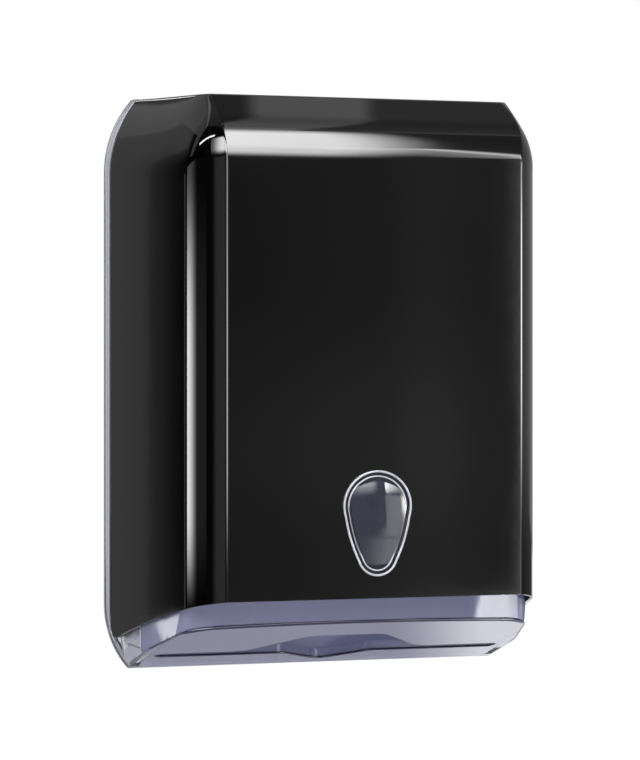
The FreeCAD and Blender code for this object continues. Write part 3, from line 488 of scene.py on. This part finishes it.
def add_top(verts, faces, rims):
    # Flat tops within the upper edges of the two skins, round the seat of the lock.
    seats = []
    for rim, level, upward in zip(rims, (HEIGHT, HEIGHT - SHELL_T), (True, False)):
        seat = []
        for a in np.linspace(0, 2 * math.pi, SEAT_SIDES, endpoint=False):
            d = LOCK_D + SEAT_R * math.sin(a)
            seat.append(len(verts))
            verts.append((SEAT_R * math.cos(a) * MM, -d * MM, (LOWEST + level - TOP_SLOPE * d) * MM))
        seats.append(seat)
        index = rim + seat
        for tri in tessellate_polygon([[Vector(verts[i]) for i in loop] for loop in (rim, seat)]):
            a, b, c = (index[i] for i in tri)
            across, along = (Vector(verts[i]) - Vector(verts[a]) for i in (b, c))
            faces.append((a, b, c) if (across.cross(along).z > 0) == upward else (a, c, b))
    faces += ring_quads(*seats)


def shell_mesh(name):
    verts, normals, faces = [], [], []
    outer, hole_out = add_skin(verts, normals, faces, 0.0)
    inner, hole_in = add_skin(verts, normals, faces, SHELL_T)
    skins = len(faces)
    add_top(verts, faces, (outer[-1], inner[-1]))
    # lower edge, rear edges up both sides, rear edge of the top, wall of the window's hole
    for c in range(len(outer[0]) - 1):
        faces.append((outer[0][c + 1], outer[0][c], inner[0][c], inner[0][c + 1]))
    for r in range(len(outer) - 1):
        faces.append((outer[r][0], outer[r + 1][0], inner[r + 1][0], inner[r][0]))
        faces.append((outer[r + 1][-1], outer[r][-1], inner[r][-1], inner[r + 1][-1]))
    faces.append((outer[-1][0], outer[-1][-1], inner[-1][-1], inner[-1][0]))
    faces += ring_quads(hole_out, hole_in)
    mesh = bpy.data.meshes.new(name)
    mesh.from_pydata(verts, [], faces)
    mesh.update()
    # the skins are smooth with normals of their own; every other face is flat
    mesh.polygons.foreach_set("use_smooth", [k < skins for k in range(len(faces))])
    loops = []
    for face in mesh.polygons:
        if face.index < skins:
            loops += [tuple(normals[v]) for v in face.vertices]
        else:
            loops += [tuple(face.normal)] * face.loop_total
    mesh.normals_split_custom_set(loops)
    return mesh


cover_piece = bpy.data.objects.new("cover_shell", shell_mesh("cover_shell"))
scene.collection.objects.link(cover_piece)
cover_piece.data.materials.append(black)
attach(cover_piece, "cover")
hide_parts("front_cover")


# ---------------------------------------------------------------- beads and rings
PLATE_HALF = 141.6
PLATE_TOP_R, PLATE_TOP_Z, PLATE_LOW_R, PLATE_LOW_Z = 72.0, 322.0, 64.0, 42.0
RIM_INSET, RIM_SIDE_INSET, RIM_OFF_WALL = 0.1, 0.4, 0.05
# radius of the rim: at the top, and what the sides and the lower corners add between two heights
RIM_R = 0.3
RIM_SIDE_ADD, RIM_SIDE_LOW, RIM_SIDE_HIGH = 0.35, 290.0, 350.0
RIM_FOOT_ADD, RIM_FOOT_LOW, RIM_FOOT_HIGH = 0.5, 20.0, 90.0
LIMIT_HALF, LOW_TAPER, BEYOND = 137.95, 0.20, 200.0
TRAY_EDGE_D = 111.4
TRAY_CORNER, TRAY_CORNER_MID, TRAY_SIDE = (97.0, 105.4), (113.0, 95.6), (119.8, 78.0)
FLOOR_RISE, FLOOR_BACK_D, SEAM_D = 36.3 / 109.4, 2.0, 42.0
FOLD_INSET, FOLD_FRONT_R, FOLD_SIDE_R, FOLD_TURN_D = 0.6, 1.3, 0.75, 95.0
CHEEK_FOLD_R, CHEEK_FOLD_INSET, CHEEK_FOLD_LIFT, CHEEK_REAR_D = 0.3, 0.9, 0.5, 6.0
CHEEK_SEAM_R, CHEEK_SEAM_INSET, CHEEK_SEAM_LOW, CHEEK_SEAM_HIGH = 0.42, 0.35, 15.0, 34.0
BOSS_X, BOSS_LEN, BORE_R = 125.9, 9.6, 2.58
BOSS_BEVEL, BOSS_CAP, AXIS_R = 0.4, 1.2, 0.05
SLOT_REAR_D, SLOT_FRONT_D, SLOT_END_X, SLOT_TIP_X = 32.0, 40.0, 113.4, 117.4
NOTCH_HALF, NOTCH_TIP_D, CUT_HALF, CUT_FRONT_D = 34.0, 14.5, 68.0, 77.5
SLOT_REAR_R, SLOT_FRONT_R, BEAD_LIFT = 0.75, 0.28, 0.25
BARREL_R, PAD_R, PAD_LOW, PAD_T, SEAT_H, SEAT_GAP = 8.1, 13.0, 365.7, 1.5, 368.5, 0.05
ALONG_Y, ALONG_Z = (0, 1, 0), (0, 0, 1)


def place(x, d, z):
    return Vector((x * MM, -d * MM, (LOWEST + z) * MM))


def add_piece(name, mesh, material, body, slot, *nodes):
    mesh.polygons.foreach_set("use_smooth", [True] * len(mesh.polygons))
    piece = bpy.data.objects.new(name, mesh)
    scene.collection.objects.link(piece)
    mesh.materials.append(material)
    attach(piece, body)
    if nodes:
        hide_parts(*nodes)


def swept(name, rings, closed=True):
    # Band of faces through rings of points, each ring closed; an open band gets end faces.
    verts = [v for ring in rings for v in ring]
    n, m = len(rings), len(rings[0])
    faces = []
    for k in range(n if closed else n - 1):
        a, b = k * m, (k + 1) % n * m
        faces += [(a + i, b + i, b + (i + 1) % m, a + (i + 1) % m) for i in range(m)]
    if not closed:
        faces += [tuple(range(m)), tuple(range((n - 1) * m, n * m))[::-1]]
    mesh = bpy.data.meshes.new(name)
    mesh.from_pydata(verts, [], faces)
    mesh.update()
    return mesh


def round_bead(name, path, radii, never, closed=True, sides=10):
    # Tube along a path; never is a direction that the path doesn't take.
    count = len(path)
    rings = []
    for k in range(count):
        after = path[(k + 1) % count] if closed else path[min(k + 1, count - 1)]
        before = path[k - 1] if closed else path[max(k - 1, 0)]
        run = (after - before).normalized()
        out = run.cross(Vector(never)).normalized()
        deep = run.cross(out)
        rings.append([path[k] + (out * math.cos(a) + deep * math.sin(a)) * radii[k] * MM
                      for a in np.linspace(0, 2 * math.pi, sides, endpoint=False)])
    return swept(name, rings, closed)


def turned(name, profile, origin, axis, sides=48):
    # Closed profile of (along, radius) points turned round an axis through origin.
    axis = Vector(axis)
    across = axis.orthogonal().normalized()
    other = axis.cross(across)
    rings = []
    for a in np.linspace(0, 2 * math.pi, sides, endpoint=False):
        out = across * math.cos(a) + other * math.sin(a)
        rings.append([origin + (axis * t + out * r) * MM for t, r in profile])
    return swept(name, rings)


def window_bead(name, offset, half, d, rise):
    # Rounded ridge along the window's outline, flat against the cover or the lens.
    rings = []
    for t in np.linspace(0, math.pi, 9):
        ring = teardrop_outline(offset + half * math.cos(t))
        rings.append([place(x, d + rise * math.sin(t), z) for x, z in ring])
    ring = teardrop_outline(offset)
    rings.append([place(x, d - 0.1, z) for x, z in ring])
    return swept(name, rings)


def edge_radius(z):
    # The dark bead along the back plate's rim, a painted shade line, is thickest round the lower corners.
    side = RIM_SIDE_ADD * (1 - float(ease(z, RIM_SIDE_LOW, RIM_SIDE_HIGH)))
    return RIM_R + side + RIM_FOOT_ADD * (1 - float(ease(z, RIM_FOOT_LOW, RIM_FOOT_HIGH)))


def plate_outline():
    # Middle line of the back plate's rim, with its radius at each point.
    half = PLATE_HALF - RIM_SIDE_INSET
    low, top = edge_radius(0.0) + RIM_INSET, edge_radius(HEIGHT) + RIM_INSET
    low_turn = math.asin((PLATE_LOW_Z - low) / (PLATE_LOW_R - low))
    top_turn = math.asin((HEIGHT - top - PLATE_TOP_Z) / (PLATE_TOP_R - top))
    right = []
    for a in np.linspace(low_turn, 0, 24):
        r = edge_radius(PLATE_LOW_Z - PLATE_LOW_R * math.sin(a))
        run = PLATE_LOW_R - r - RIM_INSET
        right.append((half - PLATE_LOW_R + run * math.cos(a), PLATE_LOW_Z - run * math.sin(a), r))
    for z in np.linspace(PLATE_LOW_Z, PLATE_TOP_Z, 24)[1:-1]:
        right.append((half - edge_radius(z) - RIM_INSET, z, edge_radius(z)))
    for a in np.linspace(0, top_turn, 24):
        r = edge_radius(PLATE_TOP_Z + PLATE_TOP_R * math.sin(a))
        run = PLATE_TOP_R - r - RIM_INSET
        right.append((half - PLATE_TOP_R + run * math.cos(a), PLATE_TOP_Z + run * math.sin(a), r))
    return right + [(-x, z, r) for x, z, r in reversed(right)]


def floor_level(d):
    return FLOOR_RISE * (d - FLOOR_BACK_D)


def side_limit(d, h, inset):
    # Outer face of the tray and the cheeks at one depth and height.
    half = PLATE_HALF - LOW_TAPER * d - inset
    drop = max(PLATE_LOW_Z - h, 0.0)
    low = half - PLATE_LOW_R + math.sqrt((PLATE_LOW_R - inset) ** 2 - drop ** 2)
    return min(LIMIT_HALF - SIDE_TAPER * d - inset, low)


def tray_fold(inset):
    # Line where the tray's front and sides meet its floor, over the right half.
    reach, (cx, cd) = TRAY_EDGE_D - inset, TRAY_CORNER
    bow = (cx ** 2 + (TRAY_EDGE_D - cd) ** 2) / (2 * (TRAY_EDGE_D - cd))
    pts = [(x, reach - bow + math.sqrt(bow ** 2 - x ** 2)) for x in np.linspace(0, cx, 24)]
    ax, ay, r = arc_through(TRAY_CORNER, TRAY_CORNER_MID, TRAY_SIDE)
    a0 = math.atan2(cd - ay, cx - ax)
    a1 = math.atan2(TRAY_SIDE[1] - ay, TRAY_SIDE[0] - ax)
    pts += [(ax + (r - inset) * math.cos(a), ay + (r - inset) * math.sin(a))
            for a in np.linspace(a0, a1, 14)[1:]]
    pts += [(BEYOND, d) for d in np.linspace(TRAY_SIDE[1] - 3.0, SEAM_D + 0.8, 10)]
    return [(min(x, side_limit(d, floor_level(d), inset)), d, floor_level(d) + inset) for x, d in pts]


def slot_outline():
    # Edge of the slot in plan: the rear with its notch, round the end, the front with the cut-out.
    notch = [(0.0, NOTCH_TIP_D), (3.0, 14.8), (6.0, 15.9), (9.0, 17.7), (23.0, 27.0), (25.4, 29.0),
             (28.0, 30.7), (31.0, 31.7), (NOTCH_HALF, SLOT_REAR_D), (74.0, SLOT_REAR_D)]
    end = [(SLOT_END_X, SLOT_REAR_D), (116.2, 33.2), (SLOT_TIP_X, 36.0), (116.2, 38.8),
           (SLOT_END_X, SLOT_FRONT_D)]
    cut = [(CUT_HALF, SLOT_FRONT_D), (62.5, 41.0), (58.0, 42.6), (53.5, 45.8), (50.0, 50.0),
           (31.0, 71.0), (28.5, 73.6), (25.5, 75.7), (21.5, 77.1), (17.0, CUT_FRONT_D),
           (0.0, CUT_FRONT_D)]
    right = notch + end + cut
    return right + [(-x, d) for x, d in reversed(right[1:-1])]


def window_rims():
    # Pale beads, a painted highlight of the light that the window's edges catch: one round the hole in the
    # cover and one within it, on the lens.
    for name, offset, half, d, rise in (("window_rim_outer", -0.75, 0.70, DEPTH + 1.15, 0.55),
                                        ("window_rim_inner", -3.75, 0.55, DEPTH + 0.4, 0.9)):
        add_piece(name, window_bead(name, offset, half, d, rise), painted_rim_light, "cover", "smoke_clear")


def base_bead(name, path, radii, material, never, closed):
    mesh = round_bead(name, [place(*point) for point in path], radii, never, closed)
    add_piece(name, mesh, material, "base", "smoke_clear")


def plate_edge():
    # dark bead along the plate's rim: painted shade where the rounded clear edge looks dark
    rim = plate_outline()
    path = [(x, r + RIM_OFF_WALL, z) for x, z, r in rim]
    base_bead("plate_edge", path, [r for _, _, r in rim], painted_dark_edge, ALONG_Y, True)


def fold_line():
    # dark bead along the tray's fold: painted shade where the folded clear plastic looks dark
    right = tray_fold(FOLD_INSET)
    path = [(-x, d, h) for x, d, h in reversed(right[1:])] + right
    radii = [FOLD_FRONT_R if d > FOLD_TURN_D else FOLD_SIDE_R for _, d, _ in path]
    base_bead("tray_fold", path, radii, painted_dark_edge, ALONG_Z, False)


def cheek_lines(side, sign):
    # Painted lines: a dark bead along the fold at the foot of a cheek of the back plate, painted shade, and
    # a pale bead along the seam between the cheek and the tray, a painted highlight.
    path = [(sign * side_limit(d, floor_level(d), CHEEK_FOLD_INSET), d, floor_level(d) + CHEEK_FOLD_LIFT)
            for d in np.linspace(SEAM_D - 1.2, CHEEK_REAR_D, 14)]
    base_bead("cheek_fold_" + side, path, [CHEEK_FOLD_R] * len(path), painted_dark_edge, ALONG_Z, False)
    path = [(sign * side_limit(SEAM_D, h, CHEEK_SEAM_INSET), SEAM_D - 0.6, h)
            for h in np.linspace(CHEEK_SEAM_LOW, CHEEK_SEAM_HIGH, 12)]
    base_bead("cheek_seam_" + side, path, [CHEEK_SEAM_R] * len(path), painted_light_edge, ALONG_Y, False)


def hinge_boss(side, sign):
    # Boss of the cover round the end of a hinge pin, capped outside.
    name = "hinge_boss_" + side
    profile = ((0.0, BORE_R), (0.0, EYE_R - BOSS_BEVEL), (BOSS_BEVEL, EYE_R), (BOSS_LEN, EYE_R),
               (BOSS_LEN, AXIS_R), (BOSS_LEN - BOSS_CAP, AXIS_R), (BOSS_LEN - BOSS_CAP, BORE_R))
    mesh = turned(name, profile, place(sign * BOSS_X, HINGE_D, HINGE_H), (sign, 0, 0))
    add_piece(name, mesh, black, "cover", "gloss_black", "front_cover")


def slot_edge():
    # dark bead along the slot's edge: painted shade where the upturned clear lip is seen edge-on
    outline = slot_outline()
    path = [(x, d, floor_level(d) + BEAD_LIFT) for x, d in outline]
    radii = [SLOT_REAR_R if d < SLOT_REAR_D + 0.5 else SLOT_FRONT_R for _, d in outline]
    base_bead("slot_edge", path, radii, painted_dark_edge, ALONG_Z, True)


def lock_pad():
    # Collar of the cover that the lock's barrel stands in.
    seat = SEAT_R - SEAT_GAP
    profile = ((PAD_LOW, BARREL_R), (PAD_LOW, PAD_R), (PAD_LOW + PAD_T, PAD_R), (PAD_LOW + PAD_T, seat),
               (SEAT_H, seat), (SEAT_H, BARREL_R))
    mesh = turned("lock_pad", profile, place(0, LOCK_D, 0), ALONG_Z)
    add_piece("lock_pad", mesh, black, "cover", "gloss_black", "front_cover")


window_rims()
plate_edge()
fold_line()
for side, sign in (("left", -1), ("right", 1)):
    cheek_lines(side, sign)
    hinge_boss(side, sign)
slot_edge()
lock_pad()


# ---------------------------------------------------------------- lights
EVEN = ((0.0, 1.0),)


def combine(nodes, links, operation, *values):
    # Maths node over sockets and plain numbers.
    m = nodes.new("ShaderNodeMath")
    m.operation = operation
    for k, v in enumerate(values):
        if isinstance(v, float):
            m.inputs[k].default_value = v
        else:
            links.new(v, m.inputs[k])
    return m.outputs[0]


def graded(nodes, links, value, half, steps):
    # Brightness along one axis of a card: steps of (metres from its middle, tone), softly joined.
    spot = map_range(nodes, links, value, -half, half, 0.0, 1.0)
    ramp = nodes.new("ShaderNodeValToRGB")
    links.new(spot, ramp.inputs[0])
    soft = ramp.color_ramp
    soft.interpolation = "EASE"
    soft.elements.remove(soft.elements[1])
    for k, (along, tone) in enumerate(steps):
        share = (along + half) / (2 * half)
        step = soft.elements[0] if k == 0 else soft.elements.new(share)
        step.position = share
        step.color = (tone, tone, tone, 1.0)
    return ramp.outputs["Color"]


def reflect_card(name, centre, toward, size, level, across=EVEN, upward=EVEN, skew=0.0, over=False,
                 turn=0.0):
    # A softbox seen only in reflections; its brightness is graded across and up its face, and
    # with over it adds to what is behind it.
    mesh = bpy.data.meshes.new(name)
    w, h = size[0] / 2, size[1] / 2
    mesh.from_pydata([(-w, -h, 0), (w, -h, 0), (w, h, 0), (-w, h, 0)], [], [(0, 1, 2, 3)])
    card = bpy.data.objects.new(name, mesh)
    scene.collection.objects.link(card)
    card.location = centre
    card.rotation_mode = "QUATERNION"
    card.rotation_quaternion = ((Vector(toward) - Vector(centre)).to_track_quat("Z", "Y")
                                @ Quaternion((0, 0, 1), math.radians(turn)))
    mat = bpy.data.materials.new(name)
    mat.use_nodes = True
    nodes, links = mat.node_tree.nodes, mat.node_tree.links
    nodes.clear()
    split = nodes.new("ShaderNodeSeparateXYZ")
    links.new(object_coords(nodes), split.inputs[0])
    lean = combine(nodes, links, "MULTIPLY_ADD", split.outputs["Y"], skew, split.outputs["X"])
    tone = combine(nodes, links, "MULTIPLY", graded(nodes, links, lean, w, across),
                   graded(nodes, links, split.outputs["Y"], h, upward))
    glow = nodes.new("ShaderNodeEmission")
    links.new(combine(nodes, links, "MULTIPLY", tone, level), glow.inputs["Strength"])
    out = nodes.new("ShaderNodeOutputMaterial")
    if over:
        both = nodes.new("ShaderNodeAddShader")
        links.new(glow.outputs[0], both.inputs[0])
        links.new(nodes.new("ShaderNodeBsdfTransparent").outputs[0], both.inputs[1])
        links.new(both.outputs[0], out.inputs["Surface"])
    else:
        links.new(glow.outputs[0], out.inputs["Surface"])
    mesh.materials.append(mat)
    card.visible_camera = False
    card.visible_diffuse = False
    card.visible_transmission = False
    card.visible_shadow = False
    card.visible_volume_scatter = False


def away(point, psi, distance, rise=0.0):
    # A place at a distance from a point; psi turns from +Y towards -X, in degrees.
    a = math.radians(psi)
    return (point[0] - math.sin(a) * distance, point[1] + math.cos(a) * distance, point[2] + rise)


# strips behind the left side: the bright band down the left flank and the faint one beside it
flank = (-0.1134, -0.112, 0.0)
reflect_card("strip_left", away(flank, 65.0, 1.0), flank, (0.80, 0.60), 12.0,
             across=((-0.12, 0.02), (0.18, 0.85), (0.235, 0.85), (0.24, 0.0)),
             upward=((-0.25, 0.0), (-0.15, 1.0), (0.0, 1.0), (0.19, 0.08), (0.20, 0.0)))
reflect_card("strip_faint", away(flank, 104.0, 1.0, -0.15), flank, (0.40, 0.70), 1.0,
             across=((-0.20, 0.5), (0.0, 0.45), (0.16, 0.0)), over=True)

# dim panel behind the left side: the tone of the side wall
side_wall = (-0.128, -0.055, 0.0)
reflect_card("panel_left", away(side_wall, 41.4, 1.0), side_wall, (0.24, 1.2), 0.36,
             across=((-0.035, 0.05), (-0.006, 0.4), (0.002, 0.85), (0.035, 1.0)))

# low panels: the light patch on the tray's side, its floor and its right-hand corner
cheek_low = (side_wall[0], side_wall[1], -0.283)
reflect_card("patch_low", away(cheek_low, 43.0, 0.985), cheek_low, (0.030, 0.05), 4.2,
             across=((-0.015, 0.8), (0.015, 1.1)), over=True, turn=-20.0)
reflect_card("panel_low", (0.0, 0.70, -0.60), (0.0, 0.0, -0.60), (1.2, 0.28), 1.0,
             across=((0.34, 0.4), (0.46, 1.5)))
tray_corner = (0.094, -0.106, -0.165)
reflect_card("strip_low_right", away(tray_corner, 252.0, 1.2, -0.56), tray_corner, (1.90, 0.44), 12.0,
             across=((-0.5, 0.3), (0.7, 1.0), (0.87, 1.0), (0.88, 0.0)), over=True)

# low softbox nearer by, in front to the right: the light patch on the tray's front
tray_front = (0.088, -0.107, -0.165)
reflect_card("strip_low_front", away(tray_front, 222.0, 0.8, -0.38), tray_front, (0.28, 0.30), 14.0,
             across=((-0.14, 0.0), (-0.11, 0.9), (0.10, 0.8), (0.114, 0.0)), over=True)

# broad panel far in front, behind the room, and a low one nearer by: the tone across the window
reflect_card("panel_window", (0.95, -2.55, -0.35), (0.95, 0.0, -0.35), (1.70, 1.70), 3.2,
             across=((-0.40, 1.0), (0.20, 0.1)))
window_lens = (0.0, -0.136, -0.121)
reflect_card("panel_window_low", away(window_lens, 202.0, 1.2, -0.40), window_lens, (1.0, 0.36), 3.2,
             across=((-0.25, 1.0), (0.30, 0.15)), upward=((0.10, 1.0), (0.18, 0.6)))

# tall softbox in front: the white brow
brow = (-0.02, -0.125, 0.135)
reflect_card("softbox_front", (0.22, -1.05, 0.82), brow, (1.10, 1.50), 18.7,
             across=((-0.25, 0.0), (-0.12, 0.9), (0.0, 1.0)),
             upward=((-0.75, 0.0), (-0.40, 0.8), (-0.10, 1.0), (0.36, 1.0), (0.65, 0.1)),
             skew=0.14, over=True)

# upright strips in front to the left and right: the lit crease lines
crease_left, crease_right = (-0.096, -0.134, 0.0), (0.096, -0.134, 0.0)
reflect_card("strip_front_left", away(crease_left, 152.0, 1.2), crease_left, (0.90, 0.60), 9.0,
             upward=((-0.24, 0.05), (-0.10, 0.95), (0.0, 0.95), (0.2, 0.6)))
reflect_card("strip_front_right", away(crease_right, 228.0, 1.2), crease_right, (1.20, 0.60), 20.0,
             across=((0.32, 1.0), (0.37, 0.0)),
             upward=((-0.20, 0.03), (0.02, 1.0), (0.10, 1.0), (0.25, 0.1)), over=True)

# low strip in front, to the right: the tail of the white brow
reflect_card("strip_tail", (0.216, -1.030, 0.805), brow, (1.10, 1.50), 12.5,
             across=((-0.16, 0.0), (-0.12, 1.0), (-0.09, 0.3), (0.08, 0.0)),
             upward=((-0.56, 0.0), (-0.50, 1.0), (-0.20, 1.0), (-0.15, 0.0)), skew=-0.39, over=True)

# small far spot in front, to the right: the glint on the window
reflect_card("spot_window", (1.225, -1.99, 0.56), (0.007, -0.135, -0.084), (0.66, 0.34), 30.0,
             across=((-0.33, 0.0), (-0.05, 0.4), (0.22, 0.5), (0.30, 1.0), (0.33, 0.0)),
             upward=((-0.17, 0.0), (0.05, 1.0)), over=True)

# ceiling panel: the tone of the upper slope
reflect_card("ceiling", (0.35, -0.10, 1.25), (0.35, -0.10, 0.0), (1.0, 1.1), 3.0,
             across=((-0.03, 0.3), (-0.01, 1.0), (0.10, 1.0), (0.12, 0.2)),
             upward=((-0.55, 0.9), (-0.38, 0.45), (0.05, 0.27)), skew=0.08)

# dim panel behind the left side, above: the tone of the side wall's upper corner
corner = (-0.120, -0.050, 0.145)
reflect_card("panel_high", away(corner, 28.0, 1.0, 0.50), corner, (0.50, 0.60), 0.52,
             across=((0.10, 1.0), (0.16, 0.35)))

# softbox in front to the left, above: the end of the white brow beyond the crease
bend = (-0.100, -0.131, 0.130)
reflect_card("softbox_left", away(bend, 128.0, 1.0, 0.58), bend, (1.68, 1.08), 18.0,
             across=((0.38, 0.95), (0.80, 0.1)),
             upward=((-0.54, 0.0), (-0.36, 1.0), (-0.02, 1.0), (0.03, 0.0)), over=True)

# short strips: the streak on the upper left corner and the glints on the edge above it
reflect_card("strip_corner", away(bend, 76.0, 1.0, 0.45), bend, (0.52, 0.045), 22.0, over=True, turn=-24.0)
glints = (-0.106, -0.069, 0.161)
reflect_card("strip_back", away(glints, 12.4, 1.7, 0.97), glints, (0.12, 0.12), 5.0, over=True)

# dim room in front: the soft tones of the front
reflect_card("room_front", (0.755, -2.4, 0.17), (0.755, 0.0, 0.17), (0.51, 1.06), 0.52,
             across=((-0.24, 0.6), (-0.11, 1.0), (-0.02, 0.75), (0.20, 0.55)),
             upward=((-0.47, 0.8), (-0.32, 1.0), (-0.05, 0.62)))

# the dim studio walls and ceiling further out
eye_level = (0.0, -0.6, 0.9)
reflect_card("wall_front", (0.0, -3.0, 0.9), eye_level, (6.4, 3.4), 0.30)
reflect_card("wall_left", (-3.0, -0.6, 0.9), eye_level, (5.0, 3.4), 0.02)
reflect_card("wall_back", (0.0, 1.9, 1.0), eye_level, (6.0, 2.6), 0.40)
reflect_card("wall_right", (3.0, -0.6, 0.9), eye_level, (8.0, 3.4), 0.35,
             upward=((-1.7, 0.2), (-1.3, 0.3), (-1.0, 1.0)))
reflect_card("ceiling_far", (0.0, -0.6, 2.6), (0.0, -0.6, 0.0), (6.0, 5.0), 0.25)


def area(name, location, target, size, power):
    data = bpy.data.lights.new(name, "AREA")
    data.size = size
    data.energy = power
    lamp = bpy.data.objects.new(name, data)
    scene.collection.objects.link(lamp)
    lamp.location = location
    lamp.rotation_mode = "QUATERNION"
    lamp.rotation_quaternion = (Vector(location) - Vector(target)).to_track_quat("Z", "Y")
    lamp.visible_camera = False
    lamp.visible_glossy = False


middle = (0.0, -0.07, -0.02)
area("key", (-0.9, -1.5, 1.2), middle, 1.0, 30.0)
area("fill", (1.4, -1.0, 0.6), middle, 1.0, 14.0)


# ---------------------------------------------------------------- world and floor
STUDIO_LEVEL = 0.25
FLOOR_Z, FLOOR_HALF = -0.75, 6.0


def seen_white(nodes, links):
    # Full white for camera, glossy and transmission rays, and the plain studio level for the rest.
    path = nodes.new("ShaderNodeLightPath")
    total = path.outputs["Is Camera Ray"]
    for kind in ("Is Glossy Ray", "Is Transmission Ray"):
        total = combine(nodes, links, "MAXIMUM", total, path.outputs[kind])
    return map_range(nodes, links, total, 0.0, 1.0, STUDIO_LEVEL, 1.0)


world = bpy.data.worlds.new("world")
scene.world = world
world.use_nodes = True
wn, wl = world.node_tree.nodes, world.node_tree.links
background = wn["Background"]
background.inputs["Color"].default_value = (1.0, 1.0, 1.0, 1.0)
wl.new(seen_white(wn, wl), background.inputs["Strength"])

floor_mesh = bpy.data.meshes.new("floor")
floor_corners = [(x * FLOOR_HALF, y * FLOOR_HALF, FLOOR_Z) for x, y in ((-1, -1), (1, -1), (1, 1), (-1, 1))]
floor_mesh.from_pydata(floor_corners, [], [(0, 1, 2, 3)])
floor = bpy.data.objects.new("floor", floor_mesh)
scene.collection.objects.link(floor)
floor_mat, fn, fl, floor_shader = new_material("floor")
floor_shader.inputs["Base Color"].default_value = (0.8, 0.8, 0.8, 1.0)
floor_shader.inputs["Roughness"].default_value = 0.9
glow = fn.new("ShaderNodeEmission")
mixed = fn.new("ShaderNodeMixShader")
fl.new(seen_white(fn, fl), mixed.inputs["Fac"])
fl.new(floor_shader.outputs[0], mixed.inputs[1])
fl.new(glow.outputs[0], mixed.inputs[2])
fl.new(mixed.outputs[0], fn["Material Output"].inputs["Surface"])
floor_mesh.materials.append(floor_mat)

scene.view_settings.view_transform = "Standard"
